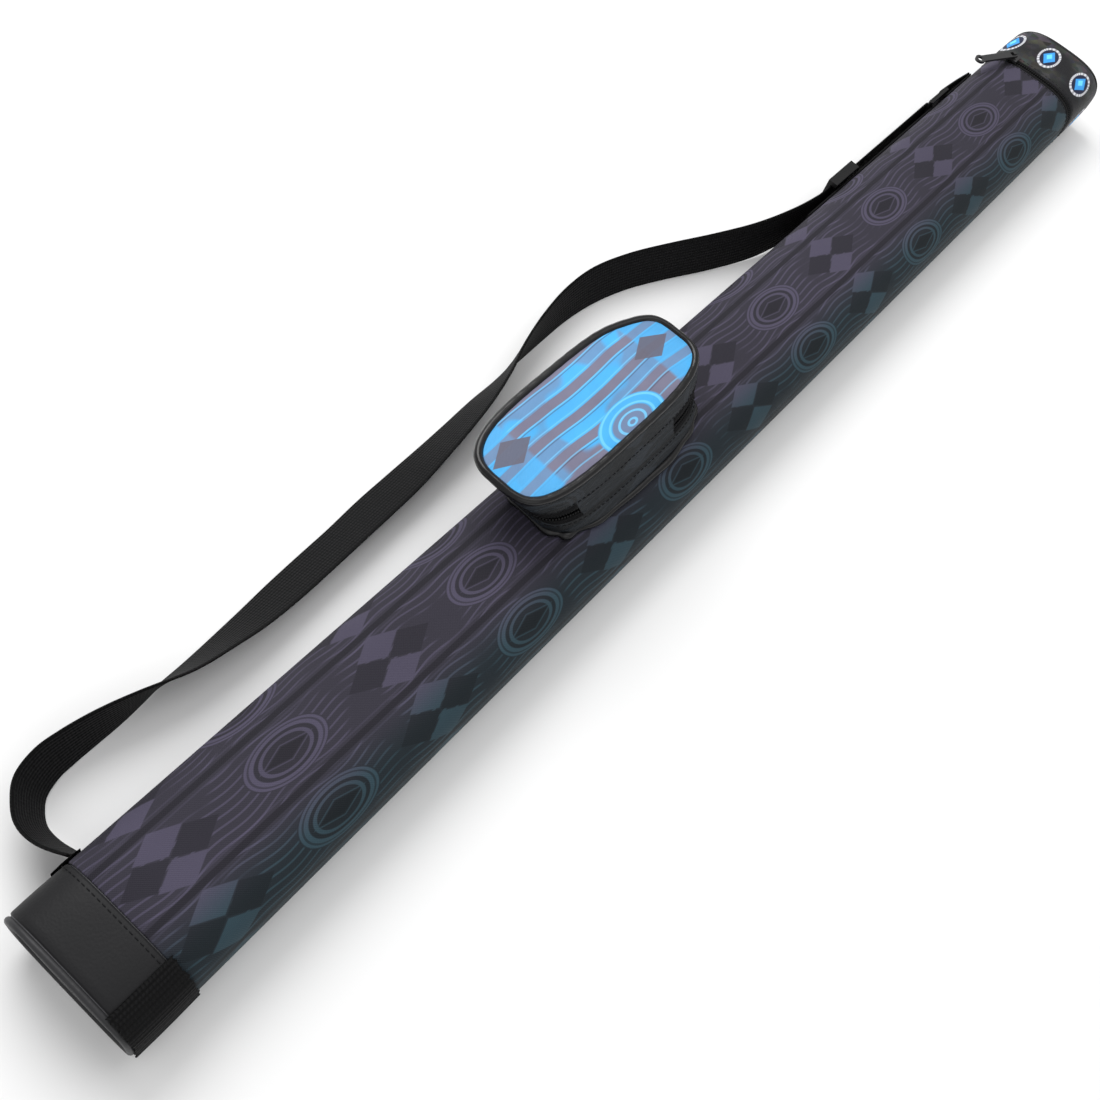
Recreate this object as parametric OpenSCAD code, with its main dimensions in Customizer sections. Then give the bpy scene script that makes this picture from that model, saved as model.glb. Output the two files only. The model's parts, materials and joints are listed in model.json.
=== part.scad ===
/* [Case] */
// Overall length of the closed case
case_len = 840; // [600:10:1000]
// Width of the oval case
case_w = 70; // [62:1:96]
// Height of the oval case
case_h = 44; // [40:1:64]
// Squareness of the oval section: 2 is an ellipse, more is boxier
section_power = 3; // [2.6:0.1:4]
// Thickness of the printed fabric cover
cover_t = 1; // [0.8:0.1:1.6]
// Wall of the hard inner tube
tube_wall = 2; // [1.5:0.1:2.4]
// Length of the leather collar at the closed end
collar_len = 30; // [20:1:50]
// Length of the zip-around cap
cap_len = 47; // [36:1:70]

/* [Inside] */
// Bore that holds the butt of the cue
butt_bore = 33; // [30:0.5:34]
// Bore that holds the shaft of the cue
shaft_bore = 22; // [16:0.5:22.5]
// Wall of the two liner tubes
liner_wall = 1; // [0.8:0.1:1.2]
// Thickness of the foam pad under the cue
foot_pad_t = 25; // [10:1:40]
// Thickness of the foam pad inside the cap
cap_pad_t = 8; // [4:1:14]

/* [Pouch] */
// Length of the pouch lid
lid_len = 138; // [100:1:180]
// Width of the pouch lid
lid_w = 53; // [44:1:64]
// Length of the pouch where it is sewn to the case
foot_len = 112; // [90:1:160]
// Width of the pouch where it is sewn to the case
foot_w = 52; // [40:1:54]
// Height of the lid's top above the case's top
pouch_h = 30; // [24:1:40]
// How far the soft pouch leans towards the strap side
pouch_lean = 14.5; // [8:0.5:18]
// Distance of the pouch's middle from the closed end
pouch_pos = 328; // [240:1:420]
// Thickness of the pouch's fabric walls
pouch_wall = 1.5; // [1:0.1:2]

/* [Strap] */
// Width of the shoulder strap webbing
strap_w = 25; // [20:1:30]
// Thickness of the shoulder strap webbing
strap_t = 1.4; // [1.2:0.1:2]
// Bar diameter of the loop ring
ring_bar = 3; // [2.6:0.1:3.6]

/* [Hidden] */
$fn = 48;

// Stations along the case, from the closed end at -Y to the cap at +Y.
base_y = -case_len / 2;
top_y = case_len / 2;
seam_gap = 0.4;
piping_t = 1.5;
end_recess = 0.8;
collar_y = base_y + collar_len;
seam_y = top_y - cap_len;
tooth_gap = 1.2;
tooth_len = 1.1;
tape_len = 1.8;
body_tooth_y = seam_y - tooth_gap / 2;
cap_tooth_y = seam_y + tooth_gap / 2;
body_tape_y = body_tooth_y - tooth_len;
cap_tape_y = cap_tooth_y + tooth_len;
body_cover_y = body_tape_y - tape_len;
cap_cover_y = cap_tape_y + tape_len;
zip_room = 1.9;
tube_mouth_y = body_cover_y - zip_room;
cap_shell_y = cap_cover_y + zip_room;
divider_t = 1.2;
divider_inset = 1.4;
liner_top_y = tube_mouth_y - divider_inset - divider_t;
end_panel_t = 2.2;
piping_len = end_recess + end_panel_t;
tube_foot_y = base_y + end_recess + end_panel_t;
plug_t = 6;
pad_foot_y = tube_foot_y + plug_t;
liner_foot_y = pad_foot_y + foot_pad_t;
mid_z = case_h / 2;
section_steps = 64;
tube_inset = cover_t;
core_inset = cover_t + tube_wall;

// The butt liner sits towards the strap side and the shaft liner on the other.
liner_gap = 0.5;
butt_r = butt_bore / 2;
shaft_r = shaft_bore / 2;
pair_w = butt_bore + shaft_bore + 4 * liner_wall + liner_gap;
butt_x = -pair_w / 2 + butt_r + liner_wall - 0.7;
shaft_x = butt_x + butt_r + liner_wall + liner_gap + liner_wall + shaft_r;

// Cap hinge: fabric bends about an upright line on the strap side.
hinge_half = 9;
hinge_gap = 0.2;

// Cap zip slider and puller.
slider_rest_x = -0.3 * case_w;
slider_len = 9;
slider_w = 8;
slider_t = 1.4;
slider_clear = 0.25;
slider_post_t = 0.6;
slider_post_len = 5;
slider_floor_t = 0.9;
floor_clear = 0.3;
bail_w = 2.4;
bail_h = 2.6;
puller_pin_r = 0.6;
puller_pin_clear = 0.06;
puller_yaw = 244;
puller_len = 33;
puller_w = 7;
puller_t = 1.4;
puller_eye_r = 1.8;

// Pouch levels, measured from the case's top.
lid_t = 3;
lid_piping_h = 3.4;
lid_piping_t = 2.2;
pouch_mid_y = base_y + pouch_pos;
foot_x = -10;
foot_shift = 4;
pouch_power = 3.6;
pouch_steps = 48;
pouch_tooth_gap = 1.2;
pouch_tooth_h = 1.3;
pouch_tape_h = 2.6;
pouch_zip_h = 14;
pouch_low_h = -10;
back_panel_t = 1;
lower_wall_h = pouch_zip_h - pouch_tooth_gap / 2 - pouch_tooth_h - pouch_tape_h;
upper_wall_h = pouch_zip_h + pouch_tooth_gap / 2 + pouch_tooth_h + pouch_tape_h;
lid_piping_z = pouch_h - lid_piping_h;
base_piping_h = 4.2;
base_piping_t = 1.6;
sewn_gap = 0.05;
// The zip runs round the outline between these two turns; the hinge wall fills the rest.
zip_from = 15;
zip_to = 330;

// Pouch zip slider, on the long side that faces the strap.
pouch_slide_y = pouch_mid_y + 28;
pouch_side_lean = atan((pouch_lean + (lid_w - foot_w) / 2) / pouch_h);
pouch_slider_len = 9;
pouch_slider_t = 1.2;
pouch_slider_up = 3;
pouch_slider_clear = 0.5;
pouch_slider_deep = 1.2;
pouch_puller_len = 19;

// Strap: the run from the closed end, along the floor, up to the loop ring on the side.
bar_r = ring_bar / 2;
fold_in_r = bar_r + 0.1;
fold_mid_r = fold_in_r + strap_t / 2;
tab_t = 1.4;
stand_gap = 0.3;
ring_x = -case_w / 2 - tab_t - bar_r - stand_gap;
ring_tab_y = top_y - 98;
ring_span = 20;
ring_free_y = ring_tab_y - ring_span;
ring_slack = 0.8;
ring_half = strap_w / 2 + ring_slack;
ring_rail_t = 2.6;
strap_mid_z = ring_half + ring_rail_t + stand_gap;
fold_leg = 6;
ply_end_y = ring_free_y - fold_leg - seam_gap;
outer_ply_x = ring_x - fold_mid_r;
inner_ply_x = ring_x + fold_mid_r;
tail_y = ring_free_y - 152;
glide_len = 26;
glide_y = ring_free_y - 107;
glide_rail_t = 2.8;
glide_bar_w = 5;
glide_end_w = 4.4;
glide_play = 0.3;
glide_end_t = 1.9;
glide_mid_slack = 0.6;
glide_mid_t = 2 * fold_in_r - 2 * glide_play - glide_mid_slack;
tab_len = 34;

// Route of the strap: [x, y, lift above the floor, roll]. Roll 0 lies flat, 90 stands on edge.
strap_route = [
    [-38, -384.5, 3.7, 74], [-50, -388.5, 3.2, 68], [-60, -388.5, 2.2, 66], [-68, -384.5, 1.2, 67],
    [-74.5, -378, 0.4, 67], [-77.5, -368, 0.4, 70], [-77.5, -358, 0.4, 74], [-76.5, -346, 0.4, 80],
    [-75, -334, 0.4, 88], [-73.5, -322, 0.4, 99], [-72, -309, 0.4, 113], [-70.5, -296, 0.4, 123],
    [-70, -280, 0.4, 131], [-70, -261, 0.4, 140], [-71, -240, 0.4, 146], [-72, -220, 0.4, 147],
    [-73, -199, 0.4, 147], [-74.5, -177, 0.4, 149], [-75.5, -155, 0.4, 147], [-77, -133, 0.4, 140],
    [-79, -111, 0.4, 133], [-81.5, -90, 0.4, 125], [-84, -72, 0.4, 112], [-88, -53, 0.4, 97],
    [-91.5, -30, 0.4, 85], [-93.5, -6, 0.4, 77], [-92, 17, 0.4, 72], [-85.5, 41, 0.4, 73],
    [-75, 66, 0.4, 73], [-62.5, 93, 0.4, 72], [-51, 121, 0.8, 74], [-44, 146, 2, 80],
    [-41, 166, 3.2, 87], [-40.5, 182, 3.7, 90], [-40.5, 230, 3.7, 90], [-40.5, 295.6, 3.7, 90]];
strap_halves = 2;

// ---- Shared outlines ----

// Half of the oval: signed power of a cosine or sine.
function bulge(v, power) = sign(v) * pow(abs(v), 2 / power);

// The case's oval, inset evenly, with a narrow flat along the bottom and the top.
function case_section(inset) = [
    for (i = [0:section_steps - 1])
        let (a = (i + 0.5) * 360 / section_steps, crown = pow(cos(180 / section_steps), 2 / section_power))
        [(case_w / 2 - inset) * bulge(cos(a), section_power) / crown,
         mid_z + (case_h / 2 - inset) * bulge(sin(a), section_power) / crown]];

// Height of the oval's upper surface at a distance from the middle, for an even inset.
function oval_top_z(x, inset) =
    mid_z + (case_h / 2 - inset) * pow(1 - pow(x / (case_w / 2 - inset), section_power), 1 / section_power);

// A solid length of the case's oval from y0 to y1.
module oval_bar(y0, y1, inset) {
    translate([0, y1, 0])
        rotate([90, 0, 0])
            linear_extrude(y1 - y0)
                polygon(case_section(inset));
}

// A hollow length of the oval: from one inset in to the next.
module oval_ring(y0, y1, outer_inset, inner_inset) {
    translate([0, y1, 0])
        rotate([90, 0, 0])
            linear_extrude(y1 - y0)
                difference() {
                    polygon(case_section(outer_inset));
                    polygon(case_section(inner_inset));
                }
}

// The patch of the strap side where the cap's fabric hinge lies.
module hinge_window(y0, y1, grow) {
    translate([-case_w, y0, mid_z - hinge_half - grow])
        cube([case_w / 2 + 8, y1 - y0, 2 * (hinge_half + grow)]);
}

// A straight round bar along Y.
module bar_y(x, z, y0, y1, r) {
    translate([x, y1, z])
        rotate([90, 0, 0])
            cylinder(h = y1 - y0, r = r);
}

// ---- Tube and what is inside it ----

module tube_shell() {
    color("#26262a") oval_ring(tube_foot_y, tube_mouth_y, tube_inset, core_inset);
}

module tube_end_plug() {
    color("#2d2d31") oval_bar(tube_foot_y, pad_foot_y, core_inset);
}

module bottom_foam_pad() {
    color("#3a3a3e") oval_bar(pad_foot_y, liner_foot_y, core_inset);
}

// Foam that holds the two liner tubes apart and fills the oval round them.
module foam_core() {
    color("#44444a") difference() {
        oval_bar(liner_foot_y, liner_top_y, core_inset);
        bar_y(butt_x, mid_z, liner_foot_y - 1, liner_top_y + 1, butt_r + liner_wall);
        bar_y(shaft_x, mid_z, liner_foot_y - 1, liner_top_y + 1, shaft_r + liner_wall);
    }
}

module liner_tube(x, bore_r) {
    difference() {
        bar_y(x, mid_z, liner_foot_y, liner_top_y, bore_r + liner_wall);
        bar_y(x, mid_z, liner_foot_y - 1, liner_top_y + 1, bore_r);
    }
}

module butt_liner() {
    color("#1f2a4a") liner_tube(butt_x, butt_r);
}

module shaft_liner() {
    color("#1f2a4a") liner_tube(shaft_x, shaft_r);
}

// Lining panel that closes the foam at the mouth and leaves the two bores open.
module mouth_divider() {
    color("#17171a") difference() {
        oval_bar(liner_top_y, liner_top_y + divider_t, core_inset);
        bar_y(butt_x, mid_z, liner_top_y - 1, liner_top_y + divider_t + 1, butt_r);
        bar_y(shaft_x, mid_z, liner_top_y - 1, liner_top_y + divider_t + 1, shaft_r);
    }
}

// ---- Outside of the body ----

module printed_cover() {
    color("#4a4a58") oval_ring(collar_y + seam_gap / 2, body_cover_y, 0, cover_t);
}

module base_collar() {
    color("#2b2b2f") oval_ring(base_y + piping_len + seam_gap, collar_y - seam_gap / 2, 0, cover_t);
}

module base_piping() {
    color("#3d3d40") oval_ring(base_y, base_y + piping_len, 0, piping_t);
}

module base_end_panel() {
    color("#1c1c1f") oval_bar(base_y + end_recess, tube_foot_y, piping_t);
}

// Webbing patch sewn round the narrow side of the collar, away from the strap.
module base_side_tab() {
    patch_t = 1.6;
    edge = 2;
    color("#101012") intersection() {
        oval_ring(base_y + edge, collar_y + edge, -patch_t, 0);
        translate([0.3 * case_w, base_y, 3])
            cube([case_w, collar_len + 2 * edge, case_h]);
    }
}

// ---- Mouth, zip and cap ----

module cap_hinge_strip() {
    color("#1a1a1d") intersection() {
        oval_ring(body_cover_y, seam_y - hinge_gap, 0, cover_t);
        hinge_window(body_cover_y - 1, seam_y, -hinge_gap);
    }
}

// One run of zip round the oval, left open at the hinge.
module zip_run(y0, y1, sink) {
    difference() {
        oval_ring(y0, y1, sink, cover_t);
        hinge_window(y0 - 1, y1 + 1, 0);
    }
}

module body_zip_tape() {
    color("#141416") zip_run(body_cover_y, body_tape_y, 0);
}

module body_zip_teeth() {
    color("#0c0c0e") zip_run(body_tape_y, body_tooth_y, 0.25);
}

module cap_zip_teeth() {
    color("#0c0c0e") zip_run(cap_tooth_y, cap_tape_y, 0.25);
}

module cap_zip_tape() {
    color("#141416") zip_run(cap_tape_y, cap_cover_y, 0);
}

module cap_shell() {
    color("#26262a") oval_ring(cap_shell_y, top_y - end_panel_t - end_recess, tube_inset, core_inset);
}

module cap_cover_band() {
    color("#34343c") union() {
        oval_ring(cap_cover_y, top_y - piping_len - seam_gap, 0, cover_t);
        intersection() {
            oval_ring(seam_y + hinge_gap, cap_cover_y + 1, 0, cover_t);
            hinge_window(seam_y, cap_cover_y + 1, -hinge_gap);
        }
    }
}

module cap_top_panel() {
    color("#1c1c1f") oval_bar(top_y - end_recess - end_panel_t, top_y - end_recess, piping_t);
}

module cap_piping() {
    color("#161618") oval_ring(top_y - piping_len, top_y, 0, piping_t);
}

module cap_foam_pad() {
    pad_top_y = top_y - end_recess - end_panel_t;
    color("#3a3a3e") oval_bar(pad_top_y - cap_pad_t, pad_top_y, core_inset);
}

// The slider: a top plate on the crown, a thin post between the rows and a plate inside.
slider_under_z = case_h + slider_clear;
slider_top_z = slider_under_z + slider_t;
slider_floor_z = oval_top_z(abs(slider_rest_x) + slider_len / 2, cover_t + floor_clear);
pin_z = slider_top_z + 1.3;

module cap_zip_slider() {
    color("#18181a") translate([slider_rest_x, seam_y, 0]) difference() {
        union() {
            translate([-slider_len / 2, -slider_w / 2, slider_under_z])
                cube([slider_len, slider_w, slider_t]);
            translate([-slider_post_len / 2, -slider_post_t / 2, slider_floor_z - slider_floor_t / 2])
                cube([slider_post_len, slider_post_t, slider_under_z - slider_floor_z + slider_floor_t]);
            translate([-slider_len / 2, -slider_w / 2 + 1, slider_floor_z - slider_floor_t])
                cube([slider_len, slider_w - 2, slider_floor_t]);
            rotate([0, 0, puller_yaw - 90])
                translate([-bail_w / 2, -bail_w / 2, slider_top_z - 0.2])
                    cube([bail_w, bail_w, bail_h + 0.2]);
        }
        translate([0, 0, pin_z])
            rotate([0, 0, puller_yaw - 90])
                rotate([0, 90, 0])
                    cylinder(h = 2 * bail_w, r = puller_pin_r + puller_pin_clear, center = true);
    }
}

// A flat pull with an eye at its tip, lying along local -Y from a pin on the local X axis.
module zip_pull(length) {
    fork_in = bail_w / 2 + 0.3;
    fork_t = 1.1;
    fork_len = 3.6;
    difference() {
        union() {
            rotate([0, 90, 0])
                cylinder(h = 2 * (fork_in + fork_t / 2), r = puller_pin_r, center = true);
            for (side = [-1, 1])
                translate([side * (fork_in + fork_t / 2) - fork_t / 2, -fork_len, -puller_t / 2])
                    cube([fork_t, fork_len + puller_pin_r + 0.5, puller_t]);
            translate([-fork_in - fork_t, -length + puller_w / 2, -puller_t / 2])
                cube([2 * (fork_in + fork_t), length - puller_w / 2 - fork_len + 0.6, puller_t]);
            translate([0, -length + puller_w / 2, -puller_t / 2])
                cylinder(h = puller_t, r = puller_w / 2);
        }
        translate([0, -length + puller_w / 2, -puller_t])
            cylinder(h = 2 * puller_t, r = puller_eye_r);
    }
}

module cap_zip_puller() {
    color("#1c1c1e") translate([slider_rest_x, seam_y, pin_z])
        rotate([0, 0, puller_yaw + 90])
            zip_pull(puller_len);
}

// ---- Pouch ----

// Middle, half width and half length of the pouch's outline at a height above the case's top.
function pouch_mid_x(h) = foot_x - pouch_lean * h / pouch_h;
function pouch_half_w(h) = (foot_w + (lid_w - foot_w) * h / pouch_h) / 2;
function pouch_centre_y(h) = pouch_mid_y + foot_shift * (1 - h / pouch_h);
function pouch_half_l(h) = (foot_len + (lid_len - foot_len) * h / pouch_h) / 2;
function pouch_point(turn, h, inset) = [
    pouch_mid_x(h) + (pouch_half_w(h) - inset) * bulge(cos(turn), pouch_power),
    pouch_centre_y(h) + (pouch_half_l(h) - inset) * bulge(sin(turn), pouch_power),
    case_h + h];

// Triangles for a strip between two runs of points, and for a closed tube of rings.
function quad(a, b, c, d) = [[a, b, c], [a, c, d]];

// A fabric wall between two heights: closed all round, or cut at two turns.
module pouch_band(h0, h1, outer_inset, inner_inset, turn0 = 0, turn1 = 360) {
    closed = turn1 - turn0 == 360;
    step = 360 / pouch_steps;
    count = round((turn1 - turn0) / step) + (closed ? 0 : 1);
    last = closed ? count - 1 : count - 2;
    points = [
        for (i = [0:count - 1])
            let (turn = turn0 + i * step)
            each [pouch_point(turn, h0, outer_inset), pouch_point(turn, h1, outer_inset),
                  pouch_point(turn, h1, inner_inset), pouch_point(turn, h0, inner_inset)]];
    sides = [
        for (i = [0:last], k = [0:3])
            let (a = 4 * i, b = 4 * ((i + 1) % count), next = (k + 1) % 4)
            each quad(a + k, a + next, b + next, b + k)];
    tail = 4 * (count - 1);
    ends = closed ? [] : concat(quad(0, 3, 2, 1), quad(tail, tail + 1, tail + 2, tail + 3));
    polyhedron(points, concat(sides, ends));
}

// A solid slab with the pouch's outline.
module pouch_slab(h0, h1, inset) {
    step = 360 / pouch_steps;
    ring = [for (i = [0:pouch_steps - 1]) i];
    points = concat(
        [for (i = ring) pouch_point(i * step, h0, inset)],
        [for (i = ring) pouch_point(i * step, h1, inset)]);
    sides = [
        for (i = ring)
            let (j = (i + 1) % pouch_steps)
            each quad(i, i + pouch_steps, j + pouch_steps, j)];
    foot = [for (i = [1:pouch_steps - 2]) [0, i, i + 1]];
    head = [for (i = [1:pouch_steps - 2]) [pouch_steps, pouch_steps + i + 1, pouch_steps + i]];
    polyhedron(points, concat(sides, foot, head));
}

// The back panel follows the case's curved top.
module pouch_back_panel() {
    color("#1b1b1e") intersection() {
        oval_ring(pouch_mid_y - lid_len, pouch_mid_y + lid_len, -back_panel_t, 0);
        translate([0, 0, case_h + pouch_low_h])
            linear_extrude(2 - pouch_low_h)
                polygon([
                    for (i = [0:pouch_steps - 1])
                        let (p = pouch_point(i * 360 / pouch_steps, 0, 0))
                        [p[0], p[1]]]);
    }
}

// What is cut from the pouch's lower parts so that they stand on the back panel.
module back_cut() {
    oval_bar(pouch_mid_y - lid_len, pouch_mid_y + lid_len, -back_panel_t);
}

module pouch_lower_wall() {
    color("#2c3036") difference() {
        pouch_band(pouch_low_h, lower_wall_h, 0, pouch_wall);
        back_cut();
    }
}

module pouch_base_piping() {
    color("#0e0e10") difference() {
        pouch_band(pouch_low_h, base_piping_h, -base_piping_t, -sewn_gap);
        back_cut();
    }
}

module pouch_lower_tape() {
    color("#131315") pouch_band(lower_wall_h, lower_wall_h + pouch_tape_h, 0, pouch_wall - 0.3, zip_from, zip_to);
}

module pouch_lower_teeth() {
    color("#0b0b0d") pouch_band(lower_wall_h + pouch_tape_h, pouch_zip_h - pouch_tooth_gap / 2, 0.1,
        pouch_wall - 0.3, zip_from, zip_to);
}

module pouch_upper_teeth() {
    color("#0b0b0d") pouch_band(pouch_zip_h + pouch_tooth_gap / 2, upper_wall_h - pouch_tape_h, 0.1,
        pouch_wall - 0.3, zip_from, zip_to);
}

module pouch_upper_tape() {
    color("#131315") pouch_band(upper_wall_h - pouch_tape_h, upper_wall_h, 0, pouch_wall - 0.3, zip_from, zip_to);
}

module pouch_upper_wall() {
    color("#17171a") pouch_band(upper_wall_h, lid_piping_z, 0, pouch_wall);
}

module pouch_lid_piping() {
    color("#0e0e10") pouch_band(lid_piping_z, pouch_h, 0, lid_piping_t);
}

module pouch_lid_panel() {
    color("#2f9fd8") pouch_slab(lid_piping_z, lid_piping_z + lid_t, lid_piping_t);
}

// The fabric hinge fills the stretch of wall that the zip leaves: one strip under the bending
// line and one flap over it.
module hinge_band(h0, h1) {
    step = 360 / pouch_steps;
    color("#2c3036") pouch_band(h0, h1, 0, pouch_wall - 0.3, zip_to - 360 + step, zip_from - step);
}

module pouch_hinge_strip() {
    hinge_band(lower_wall_h, pouch_zip_h - hinge_gap);
}

module pouch_hinge_flap() {
    hinge_band(pouch_zip_h + hinge_gap, upper_wall_h);
}

// Puts a piece on the pouch's strap-side wall at the zip, with local X out along the wall's normal.
module on_pouch_side() {
    translate([pouch_mid_x(pouch_zip_h) - pouch_half_w(pouch_zip_h), pouch_slide_y, case_h + pouch_zip_h])
        rotate([0, -pouch_side_lean, 0])
            children();
}

pouch_pin_out = 1.3;

module pouch_zip_slider() {
    deep = pouch_wall + pouch_slider_deep;
    level_out = (pouch_slider_clear + pouch_slider_t / 2) / cos(pouch_side_lean);
    level_in = (deep + pouch_slider_t / 2) / cos(pouch_side_lean);
    color("#18181a") on_pouch_side() difference() {
        union() {
            translate([-pouch_slider_clear - pouch_slider_t, -pouch_slider_len / 2, -pouch_slider_up])
                cube([pouch_slider_t, pouch_slider_len, 2 * pouch_slider_up]);
            rotate([0, pouch_side_lean, 0])
                translate([-level_out, -slider_post_len / 2, -slider_post_t / 2])
                    cube([level_out + level_in, slider_post_len, slider_post_t]);
            translate([deep, -pouch_slider_len / 2, -pouch_slider_up])
                cube([pouch_slider_t, pouch_slider_len, pouch_slider_up + slider_post_t / 2]);
            translate([-pouch_slider_clear - pouch_slider_t - bail_h, -bail_w / 2, -bail_w / 2])
                cube([bail_h + 0.2, bail_w, bail_w]);
        }
        translate([-pouch_slider_clear - pouch_slider_t - pouch_pin_out, 0, 0])
            rotate([90, 0, 0])
                cylinder(h = 2 * bail_w, r = puller_pin_r + puller_pin_clear, center = true);
    }
}

// The pouch's pull hangs straight down from its pin.
pouch_pin_x = pouch_mid_x(pouch_zip_h) - pouch_half_w(pouch_zip_h)
    - (pouch_slider_clear + pouch_slider_t + pouch_pin_out) * cos(pouch_side_lean);
pouch_pin_z = case_h + pouch_zip_h - (pouch_slider_clear + pouch_slider_t + pouch_pin_out) * sin(pouch_side_lean);

module pouch_zip_puller() {
    color("#1c1c1e") translate([pouch_pin_x, pouch_slide_y, pouch_pin_z])
        rotate([0, 0, 90])
            rotate([90, 0, 0])
                zip_pull(pouch_puller_len);
}

// ---- Strap and its fittings ----

// Where the strap starts: a patch of webbing sewn over the edge of the collar.
module strap_lower_tab() {
    patch_half = 7;
    color("#111113") intersection() {
        oval_ring(collar_y - patch_half, collar_y + patch_half, -tab_t, 0);
        translate([-case_w, collar_y - patch_half - 1, strap_mid_z - strap_w / 2])
            cube([0.7 * case_w, 2 * patch_half + 2, strap_w]);
    }
}

// Smooth curve through the route: Catmull-Rom between neighbours.
function spline(a, b, c, d, t) =
    0.5 * (2 * b + (c - a) * t + (2 * a - 5 * b + 4 * c - d) * t * t + (3 * b - a - 3 * c + d) * t * t * t);
route_last = len(strap_route) - 1;
strap_line = concat([
    for (i = [0:route_last - 1], k = [0:strap_halves - 1])
        spline(strap_route[max(i - 1, 0)], strap_route[i], strap_route[i + 1],
            strap_route[min(i + 2, route_last)], k / strap_halves)], [strap_route[route_last]]);

// Centre of the strap at a station, from its lift and roll.
function strap_centre(p) =
    [p[0], p[1], p[2] + strap_w / 2 * abs(sin(p[3])) + strap_t / 2 * abs(cos(p[3]))];

// The eight corners of the webbing's section at station i.
function strap_section(i) =
    let (
        p = strap_line[i],
        before = strap_line[max(i - 1, 0)],
        after = strap_line[min(i + 1, len(strap_line) - 1)],
        run = [after[0] - before[0], after[1] - before[1], 0],
        along = run / norm(run),
        right = [along[1], -along[0], 0],
        across = cos(p[3]) * right - [0, 0, sin(p[3])],
        face = sin(p[3]) * right + [0, 0, cos(p[3])],
        hw = strap_w / 2,
        ht = strap_t / 2)
    [for (c = [[hw, -ht / 2], [hw, ht / 2], [hw - ht, ht], [ht - hw, ht],
               [-hw, ht / 2], [-hw, -ht / 2], [ht - hw, -ht], [hw - ht, -ht]])
        strap_centre(p) + c[0] * across + c[1] * face];

module strap_webbing() {
    rings = len(strap_line);
    points = [for (i = [0:rings - 1]) each strap_section(i)];
    sides = [
        for (i = [0:rings - 2], k = [0:7])
            let (a = 8 * i, b = 8 * (i + 1), next = (k + 1) % 8)
            each quad(a + k, b + k, b + next, a + next)];
    first = [for (k = [1:6]) [0, k, k + 1]];
    end = 8 * (rings - 1);
    last = [for (k = [1:6]) [end, end + k + 1, end + k]];
    color("#131314") polyhedron(points, concat(sides, first, last));
}

// Lifts an XY outline to the strap's width, level with the middle of the case's side.
module strap_wide(width) {
    translate([0, 0, strap_mid_z - width / 2])
        linear_extrude(width)
            children();
}

// The end of the strap round the ring's free bar, with two short legs.
module strap_fold() {
    out_r = fold_in_r + strap_t;
    turns = [0:15:180];
    color("#131314") strap_wide(strap_w)
        polygon(concat(
            [[ring_x + out_r, ring_free_y - fold_leg]],
            [for (a = turns) [ring_x + out_r * cos(a), ring_free_y + out_r * sin(a)]],
            [[ring_x - out_r, ring_free_y - fold_leg], [ring_x - fold_in_r, ring_free_y - fold_leg]],
            [for (a = turns) [ring_x - fold_in_r * cos(a), ring_free_y + fold_in_r * sin(a)]],
            [[ring_x + fold_in_r, ring_free_y - fold_leg]]));
}

// The doubled end of the strap, back through the slide to its free tail.
module strap_return_ply() {
    color("#131314") strap_wide(strap_w)
        translate([inner_ply_x - strap_t / 2, tail_y])
            square([strap_t, ply_end_y - tail_y]);
}

// Three-bar slide: the outer ply passes under the end bars and over the middle bar.
module tri_glide() {
    rail_in = strap_w / 2 + glide_play;
    end_x = outer_ply_x - strap_t / 2 - glide_play - glide_end_t;
    mid_x0 = ring_x - glide_mid_t / 2;
    mid_x1 = ring_x + glide_mid_t / 2;
    color("#0d0d0f") union() {
        for (side = [-1, 1])
            translate([end_x, glide_y - glide_len / 2, strap_mid_z + side * (rail_in + glide_rail_t / 2) - glide_rail_t / 2])
                cube([mid_x1 - end_x, glide_len, glide_rail_t]);
        for (y = [glide_y - glide_len / 2, glide_y + glide_len / 2 - glide_end_w])
            translate([end_x, y, strap_mid_z - rail_in - 1])
                cube([glide_end_t, glide_end_w, 2 * rail_in + 2]);
        translate([mid_x0, glide_y - glide_bar_w / 2, strap_mid_z - rail_in - 1])
            cube([glide_mid_t, glide_bar_w, 2 * rail_in + 2]);
    }
}

// Rectangular ring between the sewn tab and the strap.
module loop_ring() {
    bar_len = 2 * (ring_half + ring_rail_t);
    color("#0d0d0f") union() {
        for (y = [ring_tab_y, ring_free_y])
            translate([ring_x, y, strap_mid_z - bar_len / 2])
                cylinder(h = bar_len, r = bar_r);
        for (side = [-1, 1])
            translate([ring_x - ring_rail_t / 2, ring_free_y,
                strap_mid_z + side * (ring_half + ring_rail_t / 2) - ring_rail_t / 2])
                cube([ring_rail_t, ring_span, ring_rail_t]);
    }
}

// Folded webbing sewn to the case, with a loop round the ring's fixed bar.
module ring_tab() {
    loop_r = fold_in_r + strap_t;
    tab_end_y = ring_tab_y + tab_len;
    case_x = -case_w / 2 - 0.2;
    color("#131314") difference() {
        strap_wide(strap_w)
            polygon(concat(
                [for (a = [180:15:360]) [ring_x + loop_r * cos(a), ring_tab_y + loop_r * sin(a)]],
                [[case_x, tab_end_y], [case_x - 2 * strap_t, tab_end_y]]));
        translate([ring_x, ring_tab_y, 0])
            cylinder(h = case_h, r = fold_in_r);
    }
}

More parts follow.
